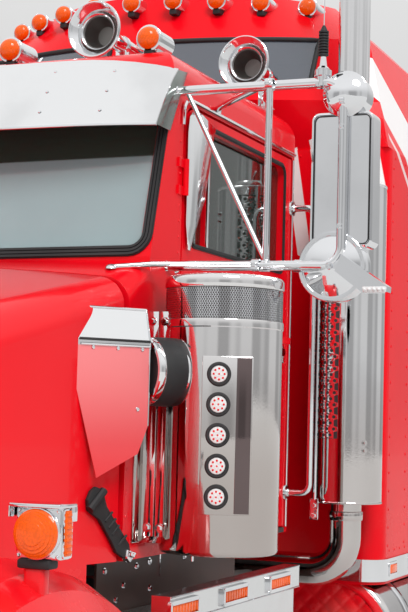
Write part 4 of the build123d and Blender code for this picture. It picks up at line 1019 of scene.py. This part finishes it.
def makeIndicators():
    plan = indicatorPlan
    x, station, z = plan["centre"]
    left, right, back = plan["left"], plan["right"], plan["back"]
    screws = [(side, 830, height) for side in (left + 17, right - 17) for height in (1350, 1452)]
    housing = mount("indicatorBright", [
        block("body", (left + 8, 830, 1342), (right - 10, back, 1460), 6),
        block("cap", (left, 806, 1459), (right, back + 8, 1469), 4),
        turned("bezel", plan["bezel"], 48, (x, station + 14, z), forward),
        ringPlate("edge", onSide(right - 10, 838, 1346, back - 3, 1457), 5, (4, 0, 0), 6),
        spread("screws", dome("screw", 5, 4, 2, 10), screws, forward),
        block("lip", (right - 5, back - 16, 1428), (right, back + 8, 1462), 2),
        block("lip", (left, 806, 1436), (left + 5, back + 8, 1462), 2),
    ], "chrome", "hood")
    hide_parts("indicators")
    mount("indicatorStems", block("stem", (left + 28, 832, 1254), (left + 82, 868, 1326), 10, 3), "redPaint", "hood")
    mount("indicatorPads", block("pad", (left + 16, 824, 1321), (left + 102, 868, 1343), 6), "blackRubber", "hood")
    mount("indicatorLenses", [
        turned("lens", plan["lens"], 48, (x, station + 4, z), forward),
        block("side", (right - 11, 844, 1351), (right - 3, back - 8, 1454), 3),
        *(block("rib", (right - 5, 846, height), (right - 1, back - 10, height + 7), 1.5) for height in range(1356, 1441, 14)),
    ], "amberLens", "hood")


makeIndicators()

# Headlamps, grille bolts and the fenders' rubber edges
nosePlan = {
    "lamps": ((640, 155, 990), (780, 155, 990)), "glass": [(3, 58), (7, 57), (12, 44), (15, 24), (16, 0)],
    "bezel": [(-12, 58), (-12, 70), (2, 71), (9, 66), (8, 58), (1, 54), (0, 40), (0, 14), (6, 12), (9, 0)],
    "bolts": row(7, (-388, 219, 880), (0, 0, 118)) + row(7, (388, 219, 880), (0, 0, 118))
             + row(5, (-260, 219, 872), (130, 0, 0)) + row(5, (-260, 219, 1588), (130, 0, 0)),
    "arch": (1211, 900, 520, 642), "archSpan": (6, 162),
}


def makeNose():
    plan = nosePlan
    for name, part, look in (("headlampBezels", "bezel", "chrome"), ("headlampGlasses", "glass", "lampGlass")):
        mount(name, [turned(part, plan[part], 40, centre, forward) for centre in plan["lamps"]], look, "hood")
    bolts = spread("grilleBolts", dome("grilleBolt", 6, 4, 2, 10), plan["bolts"], forward)
    mount("grilleBolts", bolts, "chrome", "hood", False)
    x, station, z, radius = plan["arch"]
    first, last = plan["archSpan"]
    arc = [math.radians(first + (last - first) * k / 30) for k in range(31)]
    edge = rod("fenderEdge", [(x, station + radius * math.cos(a), z + radius * math.sin(a)) for a in arc], 7)
    mount("fenderEdges", edge, "blackRubber", "hood")


makeNose()
print("front end done")

# Step boxes: three lamps on each strip, bolts on the splash panels, treads and door latches
stepPlan = {
    "lamps": (1921, 2331, 2750), "height": 1108, "strip": 1050, "panel": 798, "seam": (2296, 1152, 2304, 1238),
    "bolts": ((1983, 1107), (2125, 1198), (2221, 1206), (2035, 1147), (2227, 1120), (1900, 1200), (2500, 1200), (2800, 1200)),
    "stud": ((16, 0, 0), (0, 5, 0), (-16, 0, 0), (0, -5, 0)), "tread": (850, 1945, 760), "pitch": (38, 37),
    "door": (1862, 574, 2958, 748),
    "latch": [(0, 0), (0, 26), (5, 24), (6, 14), (10, 12), (12, 0)], "latches": (2120, 2700),
}


def makeSteps():
    plan = stepPlan
    x, z, panel = plan["strip"], plan["height"], plan["panel"]
    bright, lenses = [], []
    for s in plan["lamps"]:
        bright.append(ringPlate("lampFrame", onSide(x - 1, s - 108, z - 29, s + 108, z + 29), 12, (12, 0, 0), 10))
        lenses.append(block("lampLens", (x - 1, s - 94, z - 17), (x + 8, s + 94, z + 17), 6, 3))
        lenses += [block("lampRib", (x + 6, rib, z - 14), (x + 9.5, rib + 10, z + 14), 1.5) for rib in range(s - 88, s + 89, 22)]
    bright += [rod("stripEdge", [(x, 1832, height), (x, 2968, height)], 3) for height in (1073, 1147)]
    mount("stripFrames", bright)
    mount("stripLenses", lenses, "amberLens")
    heads = spread("splashHeads", hexHead("splashBolt", 8, 6), [(panel, *place) for place in plan["bolts"]], outward)
    mount("splashBolts", [heads, cutPlate("splashSeam", onSide(panel - 1, *plan["seam"]), (4, 0, 0))])
    stud = cutPlate("stepStud", [Vector(corner) / 1000 for corner in plan["stud"]], (0, 0, 3))
    x, station, z = plan["tread"]
    places = [(x + plan["pitch"][0] * k, station + plan["pitch"][1] * n, z) for k in range(5) for n in range(26)]
    turns = [Matrix.Rotation(math.radians(45 if (k + n) % 2 else -45), 4, "Z") for k in range(5) for n in range(26)]
    mount("stepTreads", spread("studs", stud, places, turns), "treadPlate")
    latches = [turned("boxLatch", plan["latch"], 24, (1030, s, 661), outward) for s in plan["latches"]]
    mount("boxTrim", [ringPlate("boxFrame", onSide(1029, *plan["door"]), 14, (5, 0, 0), 12)] + latches)


makeSteps()
print("steps done")

# Fuel tanks: quilted red front, straps with bolts, filler caps; bands on the air tanks
tankPlan = {
    "x": 922, "z": 765, "radius": 311, "front": 3655, "straps": (3900, 4377, 4850), "quilt": 55, "puff": 8, "face": 262,
    "rim": [(-3, 254), (2, 254), (11, 258), (14, 264), (12, 274), (4, 292), (-3, 292), (-3, 254)],
    "cap": [(-14, 0), (-14, 60), (0, 60), (3, 56), (6, 44), (22, 44), (24, 52), (46, 52), (50, 46), (52, 20), (60, 18), (60, 0)],
    "capPlace": (4120, (0.42, 0, 0.91)), "plug": [(0, 0), (0, 22), (8, 20), (9, 11), (20, 11), (21, 0)],
}


def makeTanks():
    plan = tankPlan
    x, z, radius = plan["x"], plan["z"], plan["radius"]
    reach, period = plan["face"] / 1000, plan["quilt"] / 1000
    settle()
    bpy.ops.mesh.primitive_grid_add(x_subdivisions=80, y_subdivisions=80, size=2 * reach)
    quilt = named("tankQuilts")
    for vertex in quilt.data.vertices:   # squares of the quilt stand on their corners
        u, v = ((vertex.co.x + sign * vertex.co.y) / 1.4142 * math.pi / period for sign in (1, -1))
        vertex.co.z = abs(math.sin(u) * math.sin(v)) ** 0.4 * plan["puff"] / 1000
    choose(quilt, lambda middle, normal: middle.xy.length > reach - 0.004)
    bpy.ops.mesh.delete(type="FACE")
    bpy.ops.mesh.select_all(action="SELECT")
    pull()
    settle()
    quilt.data.transform(Matrix.Translation(at(x, plan["front"] - 1, z)) @ facing(forward))
    apply(quilt, "SOLIDIFY", thickness=0.002)
    rim = turned("tankRim", plan["rim"], 64, (x, plan["front"], z), forward)
    mount("tankQuilts", [quilt, rim], "redPaint", smooth=50)
    bright = [turned("strap", hoop(-32, 32, radius - 1, radius + 6, 4), 72, (x, s, z), backward) for s in plan["straps"]]
    bolts = [(x - 120, station + side, z + 292) for station in plan["straps"] for side in (-12, 12)]
    bright.append(spread("strapBolts", hexHead("strapBolt", 9, 8), bolts, (-0.35, 0, 1)))
    station, lean = plan["capPlace"]
    foot = at(x, station, z) + Vector(lean) * radius / 1000
    bright.append(turned("fillerCap", plan["cap"], 40, foot, lean))
    bar = block("bar", Vector((-0.05, -0.006, 0.05)), Vector((0.05, 0.006, 0.062)), 2)
    mount("tankStraps", bright + [spread("capGrip", bar, [foot], lean)])
    rings = [turned("airBand", hoop(-14, 14, 114, 118), 40, (570, s, 860), backward) for s in (5300, 5540)]
    rings += [turned("airPlug", plan["plug"], 6, (570, s, 860), (0, way, 0)) for s, way in ((5180, -1), (5660, 1))]
    mount("airTankBands", rings, "brushedSteel")


makeTanks()
print("tanks done")

# Exhaust stacks: perforated sheet over a black sheet that paints the shade behind its holes, bands, clamps on the elbow
stackPlan = {
    "centre": (1066, 3466), "shield": 141, "span": (176, 272), "sheet": (1604, 2570), "cell": (27, 14),
    "bands": ((1353, 138, 8), (2599, 138, 10), (1285, 63.5, 36), (2611, 63.5, 30), (3980, 63.5, 16)),   # foot, radius, height
    "boltHeights": (1560, 1590, 2470, 2500), "boltWay": (0.72, -0.69, 0),
}


def makeStacks():
    plan = stackPlan
    x, station = plan["centre"]
    radius, (low, high) = plan["shield"], plan["sheet"]
    arc = [math.radians(plan["span"][0] + 4 * k) for k in range(25)]
    points = [(x + (radius + 0.6) * math.cos(a), station + (radius + 0.6) * math.sin(a), low) for a in arc]
    points += [(x + (radius - 1) * math.cos(a), station + (radius - 1) * math.sin(a), low) for a in reversed(arc)]
    # a black sheet under the perforations: painted shade behind the holes
    mount("stackShadeSheets", cutPlate("shadeSheet", points, (0, 0, high - low)), "framePaint")
    sheet = meshSleeve("stackSheets", plan["centre"], radius + 2.2, low, high, *plan["cell"], plan["span"])
    mount("stackSheets", sheet, "mirrorSteel", smooth=20)
    bands = [turned("band", hoop(0, tall, around - 2, around + 6, 3), 56, (x, station, z)) for z, around, tall in plan["bands"]]
    way = plan["boltWay"]
    bolts = [(x + radius * way[0], station + radius * way[1], z) for z in plan["boltHeights"]]
    mount("stackBands", bands + [spread("shieldBolts", hexHead("shieldBolt", 8, 9), bolts, way)], "stackChrome")


makeStacks()
print("stacks done")

# Sleeper: window gaskets, rivets, luggage doors, skirt strips with lamps
sleeperPlan = {
    "sections": ((2800, 1165, 3618, 3640), (3000, 1110, 3430, 3700), (3300, 1020, 3550, 3830), (3550, 760, 3700, 4150)),
    "window": (70, 830, 3070, 3290), "side": 1165, "lamps": (3790, 4100, 4410, 4720, 5030), "door": (4160, 1175, 4920, 1560),
    "rivets": (   # count, first, step, way
        *((22, (1165, station, 1170), (0, 0, 74), outward) for station in (3735, 3985, 5040)),
        *((17, (1165, 3760, z), (0, 78, 0), outward) for z in (1150, 2770)),
        (21, (1080, 3620, 1200), (0, 0, 74), forward), (13, (110, 3620, 2772), (76, 0, 0), forward),
        *((13, (110, 5150, z), (76, 0, 0), backward) for z in (1180, 2772)),
    ),
    "rear": (5149, -440, 1700, 440, 2480), "latches": (4230, 4850),
    "dish": [(0, 0), (0, 34), (3, 34), (4, 28), (1, 24), (1, 8), (6, 8), (7, 0)],
    "skirt": (1032, 88), "grab": [(520, 5148, 1500), (520, 5205, 1500), (520, 5205, 2200), (520, 5148, 2200)],
}


def roofFront(x, z):   # a place on the raised roof's face
    rows = [pair for pair in zip(sleeperPlan["sections"], sleeperPlan["sections"][1:]) if pair[0][0] <= z]
    lower, upper = rows[-1]
    share = (z - lower[0]) / (upper[0] - lower[0])
    half, middle, corner = (lower[k] + share * (upper[k] - lower[k]) for k in (1, 2, 3))
    rise = corner - middle
    radius = (half ** 2 + rise ** 2) / (2 * rise)
    return (x, middle + radius - math.sqrt(radius ** 2 - x ** 2) - 2, z)


def makeSleeper():
    plan = sleeperPlan
    x0, x1, z0, z1 = plan["window"]
    path = [(x0 + (x1 - x0) * k / 24, z0) for k in range(25)] + [(x1, z0 + (z1 - z0) * k / 6) for k in range(1, 7)]
    path += [(x0 + x1 - x, z0 + z1 - z) for x, z in path[1:]]
    mount("roofWindowSeals", rod("gasket", [roofFront(x, z) for x, z in path], 11), "blackRubber")
    side = plan["side"]
    places, ways = [], []
    for count, first, step, way in plan["rivets"]:
        places += row(count, first, step)
        ways += [way] * count
    mount("sleeperRivets", spread("rivets", dome("sleeperRivet", 6, 3, 2, 8), places, ways), "sleeperPaint")
    s0, z0, s1, z1 = plan["door"]
    door = block("door", (side - 2, s0, z0), (side + 6, s1, z1), 0)
    choose(door, lambda middle, way: abs(way.x) > 0.9, "EDGE")
    bpy.ops.mesh.bevel(offset=0.03, segments=4, affect="EDGES")
    choose(door, lambda middle, normal: normal.x > 0.9)
    stepIn(0.012, (0.003, 0, 0))
    mount("luggageDoors", door, "sleeperPaint")
    seal = ringPlate("seal", onSide(side - 1, s0 - 8, z0 - 8, s1 + 8, z1 + 8), 10, (4, 0, 0), 34)
    rear = ringPlate("rearSeal", onFront(*plan["rear"]), 14, (0, 6, 0), 60)
    mount("luggageSeals", [twoSided(seal), rear], "blackRubber", both=False)
    bright = []
    for s in plan["latches"]:
        bright += [turned("latchDish", plan["dish"], 28, (side + 6, s, 1368), outward),
                   block("latchBar", (side + 8, s - 5, 1344), (side + 15, s + 5, 1392), 2)]
    low, tall = plan["skirt"]
    bend = [math.radians(15 * k) for k in range(7)]
    corner = [(1080 + 90 * math.sin(a), 3707 - 92 * math.cos(a), low) for a in bend]
    outline([(760, 3615, low), *corner, (side + 5, 5130, low)])
    pull((0, 0, tall / 1000))
    tidy()
    strip = named("skirtStrip")
    apply(strip, "SOLIDIFY", thickness=0.006, offset=0)
    bright += [ringPlate("skirtFrame", onSide(side + 6, s - 60, 1048, s + 60, 1104), 9, (6, 0, 0), 8) for s in plan["lamps"]]
    mount("skirtStrips", bright + [strip, rod("rearGrab", plan["grab"], 12, 30)])
    lenses = [block("skirtLens", (side + 6, s - 50, 1058), (side + 14, s + 50, 1094), 5, 3) for s in plan["lamps"]]
    mount("skirtLenses", lenses, "amberLens")


makeSleeper()
print("sleeper done")

# Air horns: flared bells with rolled rims, dark liners in the throats as painted shade, pipes, feet and nuts
hornPlan = {
    "places": ((467, 2350, 650), (800, 2930, 300)), "height": 3009,
    "bell": [(220, 28), (140, 34), (100, 44), (60, 62), (30, 80), (12, 93), (6, 97), (3, 101), (-2, 101), (-4, 97), (-2, 93),
             (4, 87), (12, 78), (20, 71), (28, 67), (32, 64), (34, 60), (60, 54), (100, 38), (110, 34), (110, 0)],
    "throat": [(38, 58.6), (60, 53.6), (98, 38.4), (104, 35), (104, 0), (100, 0), (100, 34), (60, 51), (38, 56), (38, 58.6)],
}


def makeHorns():
    plan = hornPlan
    z = plan["height"]
    bright, throatShades, nuts = [], [], []
    for x, s, end in plan["places"]:
        bell = [(end, 0), (end, 26), (end - 3, 28)] + plan["bell"]
        bright += [turned("hornBell", bell, 56, (x, s, z), backward),
                   turned("hornBand", hoop(0, 14, 27, 33), 28, (x, s + 215, z), backward)]
        bright += [block("hornFoot", (x - 20, s + foot, 2862), (x + 20, s + foot + 40, 2989), 3) for foot in (210, end - 60)]
        # a dark liner inside each bell: painted shade deep in the throat
        throatShades.append(turned("hornThroatShade", plan["throat"], 48, (x, s, z), backward))
        nuts += [(x + side, s + 230, 2872) for side in (-32, 32)]
    horns = mount("hornBells", bright + [spread("hornNuts", hexHead("hornNut", 7, 7), nuts)])
    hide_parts("air_horns")
    mount("hornThroatShades", throatShades, "couplingSteel")


makeHorns()

# Tail: lens domes, flap ribs and bolts, frame bolts and the air springs' bellows
tailPlan = {
    "lamps": [(x, 8186, 965) for x in (560, 660, 1080)], "lens": [(-2, 0), (-2, 31), (2, 31), (3, 26), (3.4, 14), (3.8, 0)],
    "flap": (620, 270, 1210, 935), "springs": ((392, 6430, 620), (392, 7750, 620)),
    "bellows": [(0, 0), (0, 122), (22, 134), (44, 122), (56, 118), (66, 122), (90, 134), (112, 122), (130, 112), (130, 0)],
}


def makeTail():
    plan = tailPlan
    mount("tailLenses", spread("lenses", turned("lens", plan["lens"], 28), plan["lamps"], backward), "redLens")
    x0, z0, x1, z1 = plan["flap"]
    ribs = [block("flapRib", (x0 + 40, 8154, z), (x1 - 40, 8161, z + 18), 2) for z in range(z0 + 60, z0 + 551, 70)]
    ribs.append(ringPlate("flapHem", onFront(8160, x0 + 4, z0 + 4, x1 - 4, z1), 18, (0, -4, 0), 10))
    mount("flapRibs", ribs, "blackRubber")
    weight = block("weight", (x0 + 6, 8150, z0 + 6), (x1 - 6, 8159, z0 + 46), 2)
    bolts = spread("flapBolts", hexHead("flapBolt", 8, 6), row(6, (660, 8148, 925), (90, 0, 0)), forward)
    mount("flapWeights", [weight, bolts])
    mount("airSprings", [turned("bellows", plan["bellows"], 36, foot) for foot in plan["springs"]], "blackRubber")
    places = [(432, s, z) for s in range(1500, 8100, 220) for z in (890, 1040) if not 3500 < s < 3620]
    mount("frameBolts", spread("frameHeads", hexHead("frameBolt", 10, 7), places, outward), "framePaint")


makeTail()
print("tail done")

# Seats and bunk: crowned pads with sewn channels, on plain stands; dials, vents, gear lever
cabinPlan = {
    "seat": ((195, 2560, 1560), (705, 3060, 1690)), "rest": ((205, 3050, 1640), (695, 3180, 2420)), "cuts": 44, "round": 0.24,
    "mattress": ((-1050, 4250, 1500), (1050, 5080, 1680)), "pillow": ((560, 4560, 1668), (980, 5040, 1790)),
    "folds": (330, 2680, 570, 3000, 1300, 52), "base": ((-900, 4300, 1125), (900, 5000, 1502)), "drawers": (-860, -260, 340),
    "gauges": [(x, 2294, 2047) for x in (280, 355, 430, 505, 580)], "gaugeWay": (0, 0.905, 0.426),
    "rim": [(-4, 26), (-4, 34), (4, 34), (6, 31), (4, 27), (-4, 26)],
    "dial": [(-4, 0), (-4, 27), (0, 27), (1, 20), (1, 6), (3, 5), (3, 0)],
    "lever": [(20, 2620, 1300), (30, 2560, 1480), (60, 2520, 1790)],
    "knob": [(-10, 0), (-10, 14), (4, 18), (22, 27), (40, 26), (50, 16), (54, 0)],
    "gaiter": [(0, 0), (0, 90), (20, 84), (26, 66), (46, 62), (52, 46), (72, 40), (80, 22), (90, 20), (90, 0)],
}


def makePad(name, box, face, side, lines, depth=0.10):   # sat on from one side of an axis, with channels at shares of others
    low, high = (at(*corner) for corner in box)
    settle()
    bpy.ops.mesh.primitive_cube_add(size=2)
    pad = named(name)
    editAll()
    bpy.ops.mesh.subdivide(number_cuts=cabinPlan["cuts"])
    bpy.ops.object.mode_set(mode="OBJECT")
    middle, half = (low + high) / 2, (high - low) / 2

    def swell(first, second, third):   # a cube's coordinate on its ball
        second, third = second * second, third * third
        return first * math.sqrt(1 - second / 2 - third / 2 + second * third / 3)

    for vertex in pad.data.vertices:
        u, v, w = vertex.co
        shape = vertex.co.lerp(Vector((swell(u, v, w), swell(v, u, w), swell(w, u, v))), cabinPlan["round"])
        if shape[face] * side > 0.3:
            sink = sum(math.exp(-((shape[axis] - share) / 0.028) ** 2) for axis, share in lines)
            shape[face] -= side * depth * min(sink, 1)
        seam = math.exp(-((shape[face] * side - 0.35) / 0.05) ** 2) * 0.012
        for axis in range(3):
            if axis != face:
                shape[axis] *= 1 - seam
        vertex.co = Vector(middle[k] + half[k] * shape[k] for k in range(3))
    return pad


def makeCabin():
    plan = cabinPlan
    cushion = makePad("seatPads", plan["seat"], 2, 1, [(0, -0.55), (0, 0.55), (1, -0.2), (1, 0.35)])
    back = makePad("seatBack", plan["rest"], 1, -1, [(0, -0.6), (0, 0.6), (2, -0.6), (2, -0.25), (2, 0.1), (2, 0.5)])
    pads = mount("seatPads", [cushion, back], "seatLeather", smooth=60)
    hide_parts("seats")
    x0, s0, x1, s1, foot, rise = plan["folds"]
    stands = []
    for k in range(5):
        inset, z = 12 * (k % 2), foot + rise * k
        stands.append(block("fold", (x0 + inset, s0 + inset, z), (x1 - inset, s1 - inset, z + rise), 8, 3))
    stands += [block("armrest", (x, 2740, 1800), (x + 46, 3050, 1846), 16, 4) for x in (150, 704)]
    mount("seatStands", stands, "cabTrim")
    channels = [(0, k / 4) for k in range(-3, 4)] + [(1, -0.5), (1, 0), (1, 0.5)]
    mattress = mount("mattress", makePad("mattress", plan["mattress"], 2, 1, channels, 0.08), "bunkCloth", both=False, smooth=60)
    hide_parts("bunk")
    pillow = makePad("pillow", plan["pillow"], 2, 1, [], 0)
    for vertex in pillow.data.vertices:   # thin towards its corners
        share = max(abs(vertex.co.x - 0.77) / 0.21, abs(vertex.co.y - 0.70) / 0.24)
        vertex.co.z = 1.729 + (vertex.co.z - 1.729) * (1 - 0.55 * min(share, 1) ** 3)
    mount("pillow", pillow, "headliner", both=False, smooth=60)
    base = [block("base", *plan["base"], 6)]
    base += [block("drawer", (x, 4290, 1170), (x + 520, 4302, 1450), 4) for x in plan["drawers"]]
    mount("bunkBase", base, "cabTrim", both=False)
    bright = [rod("pull", [(x + 200, 4290, 1400), (x + 200, 4272, 1400), (x + 320, 4272, 1400), (x + 320, 4290, 1400)], 5, 8)
              for x in plan["drawers"]]
    bright += [rod("gearLever", plan["lever"], 9, 60),
               spread("gaugeRims", turned("gauge", plan["rim"], 28), plan["gauges"], plan["gaugeWay"])]
    for x in (-640, -420, -60, 110):
        bright += [block("slat", (x, 2322, z), (x + 120, 2330, z + 3), 1) for z in range(1968, 2005, 9)]
    mount("cabinBright", bright, both=False)
    mount("cabinDark", [
        turned("gearKnob", plan["knob"], 24, plan["lever"][-1]),
        turned("gearGaiter", plan["gaiter"], 28, plan["lever"][0]),
        block("gaugeHood", (235, 2250, 2096), (625, 2330, 2122), 10, 3),
        spread("dials", turned("dial", plan["dial"], 24), plan["gauges"], plan["gaugeWay"]),
    ], "blackRubber", both=False)


makeCabin()
print("cabin done")

# Fifth wheel: release handle with its ring
handle = rod("releaseHandle", [(300, 6840, 1168), (430, 6900, 1160), (500, 6900, 1160)], 9, 30)
ring = turned("handleRing", hoop(-6, 6, 10, 22), 20, (512, 6900, 1160))
mount("releaseHandle", [handle, ring], "castMetal", "fifth_wheel", False)

# Floor and soft light: a pale room with soft darker panels low around it, which polished metal shows
studio = {
    "floor": (0.62, 0.62, 0.61), "panel": 0.40, "wall": 0.66, "zenith": 0.98, "bandTop": 0.36, "world": 1.0,
    "sun": 1.9, "sunPlace": (6, -8, 12), "sunWay": (0.42, -0.55, 0.72), "sunSpread": 25,
}


def makeStudio():
    settle()
    bpy.ops.mesh.primitive_circle_add(vertices=96, radius=70, fill_type="NGON")
    floor = named("studioFloor")
    look = Finish("studioFloor", {"Specular IOR Level": 0.2})
    look.feed({"Base Color": look.tint(look.noise(0.8, 4), studio["floor"], shaded(studio["floor"], 0.96))})
    look.feed({"Roughness": 0.8 + look.noise(30) * 0.1})
    floor.data.materials.append(looks["studioFloor"])
    world = bpy.data.worlds.new("studioRoom")
    bpy.context.scene.world = world
    room = Finish("room", {"Strength": studio["world"]}, world)
    x, y, z = (room.axis(letter) for letter in "XYZ")
    around = room.node("ShaderNodeMath", {"operation": "ARCTAN2"}, {0: y, 1: x})
    rows = (around * 5 + 0.9).wave() + (around * 11 + 2.4).wave() * 0.8
    low = 1 - room.ramp(z, studio["bandTop"] * 0.45, studio["bandTop"])
    panel = room.ramp(rows, -0.6, 0.9) * low
    tone = studio["wall"] + (studio["zenith"] - studio["wall"]) * room.ramp(z, 0.1, 0.6)
    tone = tone - panel * (studio["wall"] - studio["panel"])
    room.feed({"Color": room.tint(tone, (0.0, 0.0, 0.0), (1.0, 1.0, 1.0))})
    settle()
    bpy.ops.object.light_add(type="SUN", location=studio["sunPlace"])
    sun = bpy.context.object
    sun.data.energy = studio["sun"]
    sun.data.angle = math.radians(studio["sunSpread"])
    sun.matrix_world = Matrix.Translation(studio["sunPlace"]) @ facing(studio["sunWay"])
    bpy.context.scene.view_settings.view_transform = "Standard"


makeStudio()
